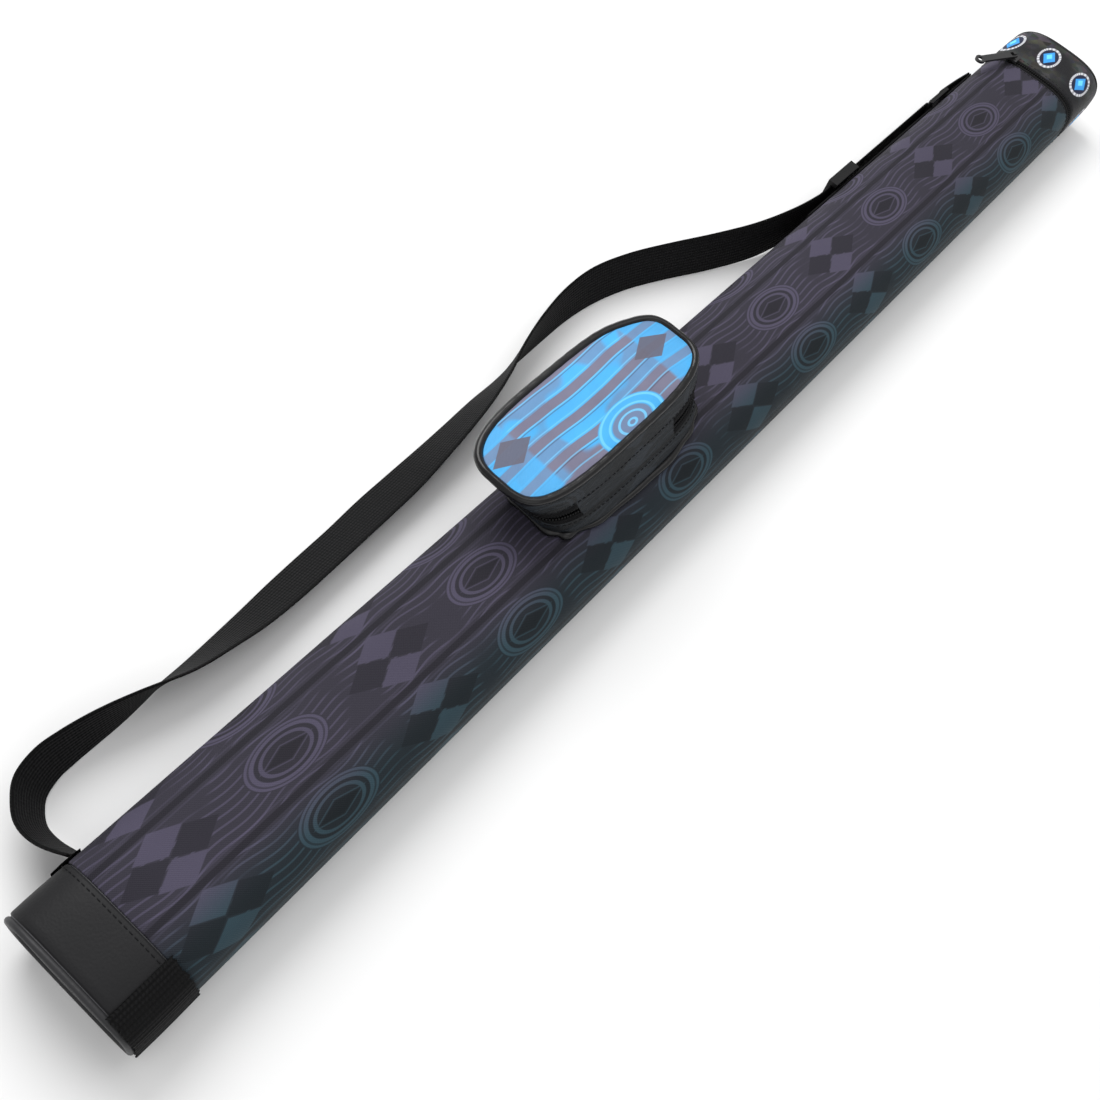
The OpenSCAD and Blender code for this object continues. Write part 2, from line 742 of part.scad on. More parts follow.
tube_shell();
tube_end_plug();
bottom_foam_pad();
foam_core();
butt_liner();
shaft_liner();
mouth_divider();
printed_cover();
base_collar();
base_end_panel();
base_piping();
base_side_tab();
cap_hinge_strip();
body_zip_tape();
body_zip_teeth();
cap_zip_teeth();
cap_zip_tape();
cap_shell();
cap_cover_band();
cap_top_panel();
cap_piping();
cap_foam_pad();
cap_zip_slider();
cap_zip_puller();
pouch_back_panel();
pouch_base_piping();
pouch_lower_wall();
pouch_lower_tape();
pouch_lower_teeth();
pouch_upper_teeth();
pouch_upper_tape();
pouch_upper_wall();
pouch_lid_piping();
pouch_lid_panel();
pouch_hinge_strip();
pouch_hinge_flap();
pouch_zip_slider();
pouch_zip_puller();
strap_lower_tab();
strap_webbing();
strap_fold();
strap_return_ply();
tri_glide();
loop_ring();
ring_tab();
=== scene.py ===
"""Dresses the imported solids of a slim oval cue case: printed cover, collar, hinged cap, zips, padded pouch
and webbing shoulder strap, with a studio stage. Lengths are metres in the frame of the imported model."""

import json
import math

import bmesh
import bpy
import numpy as np
from mathutils import Matrix


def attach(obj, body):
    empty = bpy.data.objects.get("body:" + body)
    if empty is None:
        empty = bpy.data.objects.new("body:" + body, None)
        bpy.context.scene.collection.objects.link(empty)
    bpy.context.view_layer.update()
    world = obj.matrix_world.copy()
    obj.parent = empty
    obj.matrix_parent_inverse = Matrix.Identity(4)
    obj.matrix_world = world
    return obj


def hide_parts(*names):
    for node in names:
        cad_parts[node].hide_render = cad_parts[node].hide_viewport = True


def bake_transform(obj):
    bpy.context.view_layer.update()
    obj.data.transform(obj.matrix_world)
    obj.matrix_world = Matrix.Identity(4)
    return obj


bl_info = {
    "name": "Cue case pieces",
    "version": (1, 0, 0),
    "blender": (4, 5, 0),
    "location": "3D View > Sidebar > Cue Case",
    "description": "Fabric, zip, pouch and strap pieces for a slim cue case",
    "category": "Add Mesh",
}

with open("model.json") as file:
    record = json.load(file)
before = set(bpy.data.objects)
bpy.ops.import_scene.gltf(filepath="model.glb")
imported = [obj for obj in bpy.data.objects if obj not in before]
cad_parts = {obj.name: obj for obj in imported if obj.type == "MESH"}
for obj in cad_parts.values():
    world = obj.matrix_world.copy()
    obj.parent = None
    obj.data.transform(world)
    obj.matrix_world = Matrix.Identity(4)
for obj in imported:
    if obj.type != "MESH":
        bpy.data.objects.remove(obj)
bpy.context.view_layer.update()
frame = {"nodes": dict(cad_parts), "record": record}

# ---- Sizes shared by the pieces ----

HALF_W = 0.035
HALF_H = 0.022
MID_Z = 0.022
CASE_TOP = 0.044
REST_Z = 0.0002

# Stations along the case, from the closed end to the cap.
FOOT_Y = -0.417
COLLAR_FROM_Y = -0.4166
COLLAR_Y = -0.390
SEWN_GAP = 0.0002
BODY_TAPE_Y = 0.3695
BODY_TEETH_Y = 0.37185
CAP_TEETH_Y = 0.37415
CAP_TAPE_Y = 0.3747
TAPE_WIDE = 0.0018
CAP_CLOTH_Y = 0.3765
CAP_TOP_Y = 0.4166
TOP_Y = 0.417
WELT_Y = 0.4184
END_INSET = 0.0015
WELT_INSET = 0.0016
SECTION_POWER = 3.0
POUCH_POWER = 3.6
CROWN = math.cos(math.pi / 64) ** (2 / 3)
COVER_T = 0.001
HINGE_HALF = 0.009

POUCH_Y = -0.092
POUCH_H = 0.030
POUCH_FOOT_X = -0.010
POUCH_LEAN = 0.0145
POUCH_SHIFT = 0.004
FOOT_W, FOOT_L = 0.052, 0.112
LID_W, LID_L = 0.053, 0.138
ZIP_FROM, ZIP_TO = 15, 330

STRAP_W = 0.025
STRAP_T = 0.0014
STRAP_Z = 0.0162
RING_X = -0.0382
RING_FREE_Y = 0.302
RING_TAB_Y = 0.322
FOLD_R = 0.0023
TAIL_Y = 0.150

# Route of the strap: x, y and lift above the floor in metres, and roll in degrees.
STRAP_ROUTE = [
    (-0.038, -0.3845, 0.0037, 74), (-0.050, -0.3885, 0.0032, 68), (-0.060, -0.3885, 0.0022, 66),
    (-0.068, -0.3845, 0.0012, 67), (-0.0745, -0.378, 0.0004, 67), (-0.0775, -0.368, 0.0004, 70),
    (-0.0775, -0.358, 0.0004, 74), (-0.0765, -0.346, 0.0004, 80), (-0.075, -0.334, 0.0004, 88),
    (-0.0735, -0.322, 0.0004, 99), (-0.072, -0.309, 0.0004, 113), (-0.0705, -0.296, 0.0004, 123),
    (-0.070, -0.280, 0.0004, 131), (-0.070, -0.261, 0.0004, 140), (-0.071, -0.240, 0.0004, 146),
    (-0.072, -0.220, 0.0004, 147), (-0.073, -0.199, 0.0004, 147), (-0.0745, -0.177, 0.0004, 149),
    (-0.0755, -0.155, 0.0004, 147), (-0.077, -0.133, 0.0004, 140), (-0.079, -0.111, 0.0004, 133),
    (-0.0815, -0.090, 0.0004, 125), (-0.084, -0.072, 0.0004, 112), (-0.088, -0.053, 0.0004, 97),
    (-0.0915, -0.030, 0.0004, 85), (-0.0935, -0.006, 0.0004, 77), (-0.092, 0.017, 0.0004, 72),
    (-0.0855, 0.041, 0.0004, 73), (-0.075, 0.066, 0.0004, 73), (-0.0625, 0.093, 0.0004, 72),
    (-0.051, 0.121, 0.0008, 74), (-0.044, 0.146, 0.002, 80), (-0.041, 0.166, 0.0032, 87),
    (-0.0405, 0.182, 0.0037, 90), (-0.0405, 0.230, 0.0037, 90), (-0.0405, 0.2958, 0.0037, 90),
]


# ---- Shader and node helpers ----


class Amount:
    """A socket that takes Python arithmetic and adds the Math nodes for it."""

    def __init__(self, maker, socket):
        self.maker = maker
        self.socket = socket

    def join(self, operation, *values):
        sockets = {place: value for place, value in enumerate(values)}
        node = self.maker.add("ShaderNodeMath", {"operation": operation}, sockets)
        return Amount(self.maker, node.outputs[0])

    def __add__(self, other):
        return self.join("ADD", self, other)

    def __radd__(self, other):
        return self.join("ADD", other, self)

    def __sub__(self, other):
        return self.join("SUBTRACT", self, other)

    def __rsub__(self, other):
        return self.join("SUBTRACT", other, self)

    def __mul__(self, other):
        return self.join("MULTIPLY", self, other)

    def __rmul__(self, other):
        return self.join("MULTIPLY", other, self)

    def __truediv__(self, other):
        return self.join("DIVIDE", self, other)

    def __pow__(self, other):
        return self.join("POWER", self, other)

    def __abs__(self):
        return self.join("ABSOLUTE", self)

    def sine(self):
        return self.join("SINE", self)

    def wrap(self, step, start=0.0):
        """Distance from the nearest of the marks that stand one step apart."""
        turns = (self - start) / step
        return (turns - self.join("ROUND", turns)) * step

    def both(self, other):
        return self.join("MINIMUM", self, other)

    def either(self, other):
        return self.join("MAXIMUM", self, other)


class Maker:
    """Adds nodes to a shader or geometry tree."""

    def __init__(self, tree):
        self.tree = tree

    def add(self, kind, settings=None, inputs=None):
        node = self.tree.nodes.new(kind)
        for name, value in (settings or {}).items():
            if name == "stops":
                while len(node.color_ramp.elements) < len(value):
                    node.color_ramp.elements.new(0.5)
                for element, (place, colour) in zip(node.color_ramp.elements, value):
                    element.position = place
                    element.color = (*colour, 1.0)
            else:
                setattr(node, name, value)
        for place, value in (inputs or {}).items():
            self.plug(value, node.inputs[place])
        return node

    def plug(self, value, socket):
        if isinstance(value, Amount):
            value = value.socket
        if isinstance(value, bpy.types.NodeSocket):
            self.tree.links.new(value, socket)
        elif isinstance(value, tuple) and len(value) == 3 and socket.type == "RGBA":
            socket.default_value = (*value, 1.0)
        else:
            socket.default_value = value

    def amount(self, kind, settings=None, inputs=None, output=0):
        return Amount(self, self.add(kind, settings, inputs).outputs[output])

    def smooth(self, value, low, high):
        """0 at low, 1 at high, with an eased step between them."""
        settings = {"interpolation_type": "SMOOTHSTEP"}
        return self.amount("ShaderNodeMapRange", settings, {"Value": value, "From Min": low, "From Max": high})

    def noise(self, vector, scale, detail=2.0, rough=0.5):
        inputs = {"Vector": vector, "Scale": scale, "Detail": detail, "Roughness": rough}
        return self.amount("ShaderNodeTexNoise", {}, inputs)

    def mix(self, first, second, factor):
        """Colour between first and second."""
        node = self.add("ShaderNodeMix", {"data_type": "RGBA"}, {0: factor, 6: first, 7: second})
        return node.outputs[2]

    def tint(self, colour, amount):
        """Colour times a number."""
        node = self.add("ShaderNodeVectorMath", {"operation": "SCALE"}, {0: colour, "Scale": amount})
        return node.outputs[0]

    def split(self, vector):
        node = self.add("ShaderNodeSeparateXYZ", {}, {0: vector})
        return [Amount(self, out) for out in node.outputs]


class Finish(Maker):
    """A material under construction: its tree, its coordinates and its Principled shader."""

    def __init__(self, name):
        self.material = bpy.data.materials.new(name)
        self.material.use_nodes = True
        super().__init__(self.material.node_tree)
        self.shader = self.tree.nodes["Principled BSDF"]
        place = self.add("ShaderNodeTexCoord")
        self.place = place.outputs["Object"]
        self.cloth = place.outputs["UV"]

    def close(self, colour, rough, height=None, strength=0.3, **constants):
        self.plug(colour, self.shader.inputs["Base Color"])
        self.plug(rough, self.shader.inputs["Roughness"])
        for name, value in constants.items():
            self.shader.inputs[name.replace("_", " ")].default_value = value
        if height is not None:
            bump = self.add("ShaderNodeBump", {}, {"Strength": strength, "Distance": 0.001, "Height": height})
            self.plug(bump.outputs[0], self.shader.inputs["Normal"])
        return self.material


def thread_height(m, u, v, pitch):
    """Over-and-under height of a plain weave."""
    across = (u * (2 * math.pi / pitch)).sine()
    along = (v * (2 * math.pi / pitch)).sine()
    return across * along * 0.5 + 0.5


# ---- Fabric prints ----


def eye_print(m, u, v, ground, line, dark, first_v=-0.304, first_u=-0.005):
    """Tone-on-tone print: banded ovals, rhombi between them, leaf lines and dark stripes between columns."""
    pitch = 0.0315
    period = 0.1205
    du = u.wrap(pitch, first_u)
    dv = v.wrap(period, first_v)
    dw = v.wrap(period, first_v + period / 2)
    wobble = m.noise(m.place, 22.0, 1.0) - 0.5
    radius = ((du / 0.0108) ** 2 + (dv / 0.0205) ** 2) ** 0.5
    band = m.smooth(abs(radius - 0.90), 0.135, 0.10) * (1 - m.smooth(abs(radius - 0.92), 0.035, 0.015) * 0.7)
    thin = m.smooth(abs(radius - 0.62), 0.065, 0.035)
    gem = abs(du) / 0.0032 + abs(dv) / 0.0112
    pupil = m.smooth(gem, 1.05, 0.90)
    rim = m.smooth(abs(gem - 1.22), 0.13, 0.06)
    clear = m.smooth(radius, 1.02, 1.08)
    light = m.smooth(abs(abs(du) - 0.0074) / 0.0064 + abs(dw) / 0.0122, 1.06, 0.96)
    deep = m.smooth(abs(du) / 0.0068 + abs(abs(dw) - 0.0122) / 0.0122, 1.06, 0.96)
    swing = (v * (2 * math.pi / 0.0402)).sine() * 0.0010 + wobble * 0.0015
    flow = du * (1.12 - m.smooth(abs(dv), 0.0, 0.050) * 0.18) + swing
    leaf = m.smooth(abs(flow.wrap(0.0036, 0.0012)), 0.00058, 0.00024)
    leaf = leaf * clear * m.smooth(m.noise(m.place, 40.0, 1.0), 0.34, 0.50) * (1 - light) * (1 - deep)
    edge = pitch / 2 - abs(du)
    stripe = m.smooth(edge, 0.0017, 0.0011)
    rib = m.smooth(abs(edge - 0.0030), 0.0006, 0.0002)
    colour = m.mix(ground, line, (leaf * 0.60 + rib * 0.22) * (1 - stripe))
    colour = m.mix(colour, line, light * 0.66)
    colour = m.mix(colour, dark, deep * (1 - light) * 0.50)
    colour = m.mix(colour, dark, (m.smooth(radius, 1.06, 1.00) * 0.35).both(clear * -1 + 1))
    colour = m.mix(colour, line, (band * 0.80).either(thin * 0.7).either(rim * 0.45))
    colour = m.mix(colour, dark, pupil * 0.7)
    return m.mix(colour, dark, stripe * 0.80)


def printed_fabric():
    m = Finish("printed_fabric")
    u, v, _ = m.split(m.cloth)
    shade = m.noise(m.place, 9.0, 3.0)
    teal = m.smooth(u, 0.009, 0.028)
    ground = m.mix(tuple(wishes().cloth_colour), tuple(wishes().side_colour), teal)
    line = m.mix((0.076, 0.067, 0.108), (0.031, 0.062, 0.080), teal)
    dark = m.tint(ground, 0.42)
    colour = m.tint(eye_print(m, u, v, ground, line, dark), shade * 0.5 + 0.78)
    weave = thread_height(m, u, v, 0.0011)
    return m.close(colour, shade * 0.12 + 0.62, weave + m.noise(m.place, 60.0, 2.0) * 0.8, 0.22,
                   Sheen_Weight=0.02, Sheen_Roughness=0.4, Specular_IOR_Level=0.16)


def gusset_fabric():
    m = Finish("gusset_fabric")
    x, y, z = m.split(m.place)
    u = x * 0.6 - z
    shade = m.noise(m.place, 14.0, 3.0)
    colour = eye_print(m, u, y, (0.0080, 0.0105, 0.0135), (0.022, 0.028, 0.036), (0.004, 0.005, 0.006),
                       first_v=-0.150, first_u=0.0)
    weave = thread_height(m, y, z, 0.0009)
    return m.close(m.tint(colour, shade * 0.7 + 0.65), shade * 0.15 + 0.40, weave + shade * 2.0, 0.35,
                   Specular_IOR_Level=0.28)


def cap_fabric():
    m = Finish("cap_fabric")
    u, v, _ = m.split(m.cloth)
    cell = m.add("ShaderNodeTexVoronoi", {}, {"Vector": m.place, "Scale": 210.0})
    hue = m.add("ShaderNodeHueSaturation", {}, {"Saturation": 0.42, "Value": 0.075, "Color": cell.outputs["Color"]})
    shade = m.noise(m.place, 30.0, 3.0)
    ground = m.mix((0.007, 0.007, 0.009), hue.outputs[0], m.smooth(shade, 0.40, 0.66) * 0.9)
    du = u.wrap(0.0275, -0.0035)
    dv = v - 0.3975
    radius = ((du / 0.0066) ** 2 + (dv / 0.0118) ** 2) ** 0.5
    turn = m.amount("ShaderNodeMath", {"operation": "ARCTAN2"}, {0: dv, 1: du})
    beads = (turn * 26).sine() * 0.3 + 0.7
    ring = m.smooth(abs(radius - 1), 0.14, 0.08) * beads
    inner = m.smooth(radius, 0.92, 0.86)
    gem = m.smooth(abs(du) / 0.0046 + abs(dv) / 0.0090, 1.05, 0.95)
    core = m.smooth(abs(du + 0.0004) / 0.0024 + abs(dv - 0.0010) / 0.0046, 1.1, 0.7)
    colour = m.mix(ground, (0.010, 0.014, 0.045), inner)
    colour = m.mix(colour, (0.72, 0.73, 0.78), ring)
    colour = m.mix(colour, (0.045, 0.33, 0.78), gem)
    colour = m.mix(colour, (0.16, 0.70, 0.93), core)
    weave = thread_height(m, u, v, 0.0010)
    return m.close(colour, shade * 0.1 + 0.50, weave + shade, 0.22, Specular_IOR_Level=0.22)


def pouch_print():
    m = Finish("pouch_print")
    x, y, _ = m.split(m.place)
    drift = m.noise(m.place, 26.0, 1.0) - 0.5
    side = x + 0.0235 + (y * (2 * math.pi / 0.075)).sine() * 0.0006 + drift * 0.0028
    shade = m.noise(m.place, 60.0, 3.0)
    mauve = m.mix((0.125, 0.120, 0.190), (0.200, 0.195, 0.275), shade)
    azure = m.mix(m.tint(tuple(wishes().lid_colour), 0.72), tuple(wishes().lid_colour), shade)
    pale = (0.16, 0.58, 0.93)
    ink = (0.035, 0.055, 0.120)
    patches = m.smooth(m.noise(m.place, 24.0, 1.0), 0.46, 0.50)
    stripe = m.smooth(abs(side.wrap(0.0118)), 0.0026, 0.0020)
    right = m.smooth(x, -0.0170, -0.0120) * m.smooth(abs(y + 0.088), 0.050, 0.040)
    colour = m.mix(azure, mauve, stripe.either(right * patches).either(patches * 0.55))
    colour = m.mix(colour, pale, m.smooth(abs(side.wrap(0.0059, 0.0026)), 0.00050, 0.00020) * 0.50)
    colour = m.mix(colour, ink, m.smooth(abs(side.wrap(0.0118, 0.0034)), 0.00045, 0.00018) * 0.55)
    far = m.smooth(abs(x + 0.0250) / 0.0072 + abs(y + 0.0440) / 0.0135, 1.03, 0.97)
    near = m.smooth(abs(x + 0.0300) / 0.0072 + abs(y + 0.1430) / 0.0130, 1.03, 0.97)
    end = m.smooth(abs(abs(y + 0.0925) - 0.0560), 0.0130, 0.0105) * (1 - stripe * 0.6)
    colour = m.mix(colour, azure, end * 0.8)
    colour = m.mix(colour, (0.105, 0.100, 0.140), far.either(near) * 0.95)
    swirl = (((x + 0.0030) / 0.0120) ** 2 + ((y + 0.086) / 0.0225) ** 2) ** 0.5
    colour = m.mix(colour, azure, m.smooth(swirl, 1.03, 0.97))
    colour = m.mix(colour, mauve, m.smooth(swirl, 0.62, 0.56) * 0.8)
    ring = m.smooth(abs(swirl.wrap(0.27, 0.12)), 0.05, 0.025) * m.smooth(swirl, 1.12, 1.05)
    colour = m.mix(colour, pale, ring * 0.8)
    weave = thread_height(m, x, y, 0.0009)
    return m.close(colour, shade * 0.1 + 0.45, weave + shade, 0.22, Specular_IOR_Level=0.35)


# ---- Plain finishes ----


def grained(name, colour, light, rough, grain, strength, **constants):
    """Leather, vinyl, plastic or enamel: a colour that varies a little over a fine grain."""
    m = Finish(name)
    broad = m.noise(m.place, 18.0, 3.0)
    cell = m.amount("ShaderNodeTexVoronoi", {"feature": "SMOOTH_F1"}, {"Vector": m.place, "Scale": grain})
    worn = m.smooth(m.noise(m.place, 55.0, 4.0, 0.6), 0.58, 0.74)
    tone = m.mix(m.mix(colour, light, broad), light, worn * 0.35)
    return m.close(tone, broad * 0.16 + rough, cell + m.noise(m.place, 140.0, 2.0) * 0.4, strength, **constants)


def webbing():
    m = Finish("webbing")
    u, v, _ = m.split(m.cloth)
    ribs = (u * (2 * math.pi / 0.0019)).sine() * 0.5 + 0.5
    picks = (v * (2 * math.pi / 0.0017)).sine() * 0.5 + 0.5
    shade = m.noise(m.place, 35.0, 3.0)
    edge = m.smooth(abs(u), 0.0098, 0.0112)
    colour = m.tint(m.mix((0.0028, 0.0028, 0.0031), (0.0085, 0.0085, 0.0095), ribs * picks), shade * 0.6 + 0.7)
    return m.close(m.mix(colour, (0.002, 0.002, 0.002), edge * 0.5), shade * 0.12 + 0.60,
                   ribs * 0.7 + picks * 0.5, 0.5, Specular_IOR_Level=0.12)


def zip_tape():
    m = Finish("zip_tape")
    x, y, z = m.split(m.place)
    twill = ((x + y + z) * (2 * math.pi / 0.0011)).sine() * 0.5 + 0.5
    shade = m.noise(m.place, 40.0, 2.0)
    colour = m.mix((0.003, 0.003, 0.0035), (0.009, 0.009, 0.010), twill * shade)
    return m.close(colour, shade * 0.1 + 0.7, twill, 0.3, Specular_IOR_Level=0.12)


def foam():
    m = Finish("foam")
    pores = m.amount("ShaderNodeTexVoronoi", {}, {"Vector": m.place, "Scale": 900.0})
    shade = m.noise(m.place, 30.0, 3.0)
    colour = m.mix((0.035, 0.035, 0.038), (0.085, 0.085, 0.092), shade * pores)
    return m.close(colour, shade * 0.1 + 0.82, pores, 0.5)


def lining(name, low, high):
    m = Finish(name)
    x, y, z = m.split(m.place)
    weave = thread_height(m, x + z, y, 0.0008)
    shade = m.noise(m.place, 24.0, 3.0)
    return m.close(m.mix(low, high, weave * shade), shade * 0.12 + 0.55, weave + shade, 0.3, Sheen_Weight=0.2)


def floor_finish():
    m = Finish("floor")
    shade = m.noise(m.place, 3.0, 2.0)
    return m.close(m.mix((0.86, 0.86, 0.86), (0.88, 0.88, 0.88), shade), 0.9, Specular_IOR_Level=0.1)


finishes = {}


def make_finishes():
    finishes.update(
        printed_fabric=printed_fabric(),
        gusset_fabric=gusset_fabric(),
        cap_fabric=cap_fabric(),
        pouch_print=pouch_print(),
        webbing=webbing(),
        zip_tape=zip_tape(),
        foam=foam(),
        liner=lining("liner", (0.010, 0.016, 0.050), (0.030, 0.042, 0.110)),
        lining_panel=lining("lining_panel", (0.008, 0.008, 0.010), (0.028, 0.028, 0.032)),
        faux_leather=grained("faux_leather", (0.0070, 0.0070, 0.0078), (0.0125, 0.0125, 0.0138), 0.46, 900.0, 0.08,
                             Specular_IOR_Level=0.20),
        vinyl_piping=grained("vinyl_piping", (0.0028, 0.0028, 0.0032), (0.0080, 0.0080, 0.0088), 0.20, 420.0, 0.10,
                             Coat_Weight=0.22, Coat_Roughness=0.14, Specular_IOR_Level=0.22),
        # end_welt colours the base end's welt grey, much lighter than the black vinyl piping: painted sheen on glossy
        # black piping.
        end_welt=grained("end_welt", (0.014, 0.014, 0.015), (0.040, 0.040, 0.043), 0.36, 500.0, 0.14,
                         Specular_IOR_Level=0.25),
        zip_teeth=grained("zip_teeth", (0.0040, 0.0040, 0.0044), (0.010, 0.010, 0.011), 0.42, 1500.0, 0.06,
                          Specular_IOR_Level=0.25),
        zip_metal=grained("zip_metal", (0.006, 0.006, 0.006), (0.040, 0.040, 0.042), 0.26, 1400.0, 0.05,
                          Metallic=0.5, Coat_Weight=0.3),
        buckle_plastic=grained("buckle_plastic", (0.0035, 0.0035, 0.0038), (0.0080, 0.0080, 0.0085), 0.32, 1100.0,
                               0.08, Specular_IOR_Level=0.25),
        hard_tube=grained("hard_tube", (0.030, 0.030, 0.034), (0.052, 0.052, 0.058), 0.40, 900.0, 0.08),
        thread=grained("thread", (0.004, 0.004, 0.0045), (0.016, 0.016, 0.018), 0.60, 2200.0, 0.20,
                       Specular_IOR_Level=0.15),
    )


# ---- Mesh helpers ----


def bulge(value, power):
    return math.copysign(abs(value) ** (2 / power), value)


def spaced_turns(outline, count, first):
    """Turns that stand evenly along a closed outline, from a first turn round once."""
    fine = first + np.linspace(0, 2 * math.pi, 6001)
    points = np.array([outline(turn) for turn in fine])
    walked = np.concatenate([[0], np.cumsum(np.linalg.norm(np.diff(points, axis=0), axis=1))])
    places = np.linspace(0, walked[-1], count, endpoint=False)
    return np.interp(places, walked, fine), places, walked[-1]


def oval(turn, inset=0.0):
    return ((HALF_W - inset) * bulge(math.cos(turn), SECTION_POWER) / CROWN,
            MID_Z + (HALF_H - inset) * bulge(math.sin(turn), SECTION_POWER) / CROWN)


def oval_top(x, inset=0.0):
    """Height of the oval's upper surface at x."""
    share = min(abs(x) / (HALF_W - inset), 1.0)
    return MID_Z + (HALF_H - inset) * (1 - share ** SECTION_POWER) ** (1 / SECTION_POWER)


# Turns run from the middle of the underside, towards +X, over the top and back.
OVAL_TURNS, OVAL_PLACES, OVAL_GIRTH = spaced_turns(oval, 176, -math.pi / 2)


def new_object(name, points, faces, cloth=None, finish=None, flat=False):
    """A mesh object at the origin; cloth gives each face's corners their place on the flat fabric."""
    mesh = bpy.data.meshes.new(name)
    mesh.from_pydata([tuple(p) for p in points], [], faces)
    if cloth is not None:
        layer = mesh.uv_layers.new(name="UVMap")
        layer.data.foreach_set("uv", np.array(cloth, dtype=np.float32).ravel())
    mesh.polygons.foreach_set("use_smooth", [not flat] * len(mesh.polygons))
    mesh.validate()
    mesh.update()
    obj = bpy.data.objects.new(name, mesh)
    bpy.context.scene.collection.objects.link(obj)
    if finish:
        mesh.materials.append(finishes[finish])
    return obj


def skin(name, rings, alongs, arounds, finish, loop=False, swap=False):
    """Skins like closed rings set one after another. alongs and arounds give each ring and each point of a ring
    its place on the flat cloth. A loop joins the last ring to the first; any other skin is closed by end faces."""
    rings = np.array(rings, float)
    count, around = rings.shape[:2]
    faces, cloth = [], []

    def place(i, j):
        pair = (float(alongs[i]), float(arounds[j]))
        return pair[::-1] if swap else pair

    for i in range(count if loop else count - 1):
        here, there = i * around, ((i + 1) % count) * around
        for j in range(around):
            n = (j + 1) % around
            faces.append((here + j, here + n, there + n, there + j))
            cloth += [place(i, j), place(i, n), place(i + 1, n), place(i + 1, j)]
    if not loop:
        for i, ring in ((0, range(around)), (count - 1, range((count - 1) * around, count * around))):
            faces.append(tuple(ring))
            cloth += [place(i, j) for j in range(around)]
    return face_out(new_object(name, rings.reshape(-1, 3), faces, cloth, finish))


def face_out(obj):
    """Turns every face of a closed shell outwards."""
    work = bmesh.new()
    work.from_mesh(obj.data)
    bmesh.ops.recalc_face_normals(work, faces=work.faces)
    work.to_mesh(obj.data)
    work.free()
    return obj


def oval_point(turn, y, inset):
    """Point of a cloth piece on the oval, kept off the floor."""
    x, z = oval(turn, inset)
    return (x, y, max(z, REST_Z))


def oval_piece(name, profile, finish, turns=None, surface=oval_point):
    """A band of the case's oval section, right round or over some turns. profile is the closed outline of the
    band's thickness, as (y, inset)."""
    loop = turns is None
    used = OVAL_TURNS if loop else turns
    rings = [[surface(turn, y, inset) for y, inset in profile] for turn in used]
    alongs = OVAL_GIRTH / 2 - np.interp(used, OVAL_TURNS, OVAL_PLACES)
    if loop:
        alongs = np.append(alongs, -OVAL_GIRTH / 2)
    return skin(name, rings, alongs, [y for y, _ in profile], finish, loop)


def disc(name, rims, middle, front, back, axis, finish, steps=12):
    """A thin panel closed over a rim. front and back give each point's height along the axis from its share of
    the way out and its place."""
    rims, middle, axis = np.array(rims), np.array(middle), np.array(axis)
    shares = [max(math.sin(i / steps * math.pi / 2), 0.02) for i in range(steps + 1)]
    rings = []
    for height, order in ((back, shares), (front, shares[::-1])):
        for share in order:
            ring = middle + (rims - middle) * share
            rings.append([p + axis * height(share, p) for p in ring])
    around = np.linspace(0, 0.3, len(rims))
    return skin(name, rings, np.linspace(0, 0.1, len(rings)), around, finish)


def band_profile(y0, y1, thick, lift=0.0, soft=0.0006, stations=6):
    """Outline of a fabric band: outer side with eased edges and a slight crown, then the inner side back."""
    outer = []
    for i in range(stations + 1):
        share = i / stations
        outer.append((y0 + soft + (y1 - y0 - 2 * soft) * share, -lift * math.sin(math.pi * share)))
    return ([(y0, thick * 0.8), (y0, soft), (y0 + soft * 0.3, soft * 0.3)] + outer
            + [(y1 - soft * 0.3, soft * 0.3), (y1, soft), (y1, thick * 0.8), (y1 - soft, thick), (y0 + soft, thick)])


def curve_points(route, halves):
    """Smooth line through the rows of a route, Catmull-Rom."""
    rows = np.array(route, float)
    last = len(rows) - 1
    out = []
    for i in range(last):
        a, b, c, d = rows[max(i - 1, 0)], rows[i], rows[i + 1], rows[min(i + 2, last)]
        for k in range(halves):
            t = k / halves
            out.append(0.5 * (2 * b + (c - a) * t + (2 * a - 5 * b + 4 * c - d) * t * t
                              + (3 * b - a - 3 * c + d) * t ** 3))
    out.append(rows[last])
    return np.array(out)


def ribbon(name, centres, across):
    """A flat woven strap along a line; across gives the direction of its width at each point."""
    centres = np.array(centres)
    across = np.array(across)
    along = np.gradient(centres, axis=0)
    along /= np.linalg.norm(along, axis=1)[:, None]
    across = across - (across * along).sum(1)[:, None] * along
    across /= np.linalg.norm(across, axis=1)[:, None]
    face = np.cross(along, across)
    half, rim = STRAP_W / 2, STRAP_T / 2
    shape = [(-half, 0), (-half + rim * 0.5, -rim * 0.8), (-half + rim * 1.6, -rim), (-half * 0.5, -rim * 0.9),
             (0, -rim * 0.9), (half * 0.5, -rim * 0.9), (half - rim * 1.6, -rim), (half - rim * 0.5, -rim * 0.8)]
    shape += [(-a, -b) for a, b in shape]
    rings = [[c + a * s + b * f for a, b in shape] for c, s, f in zip(centres, across, face)]
    walked = np.concatenate([[0], np.cumsum(np.linalg.norm(np.diff(centres, axis=0), axis=1))])
    return skin(name, rings, walked, [a for a, _ in shape], "webbing", swap=True), float(walked[-1])


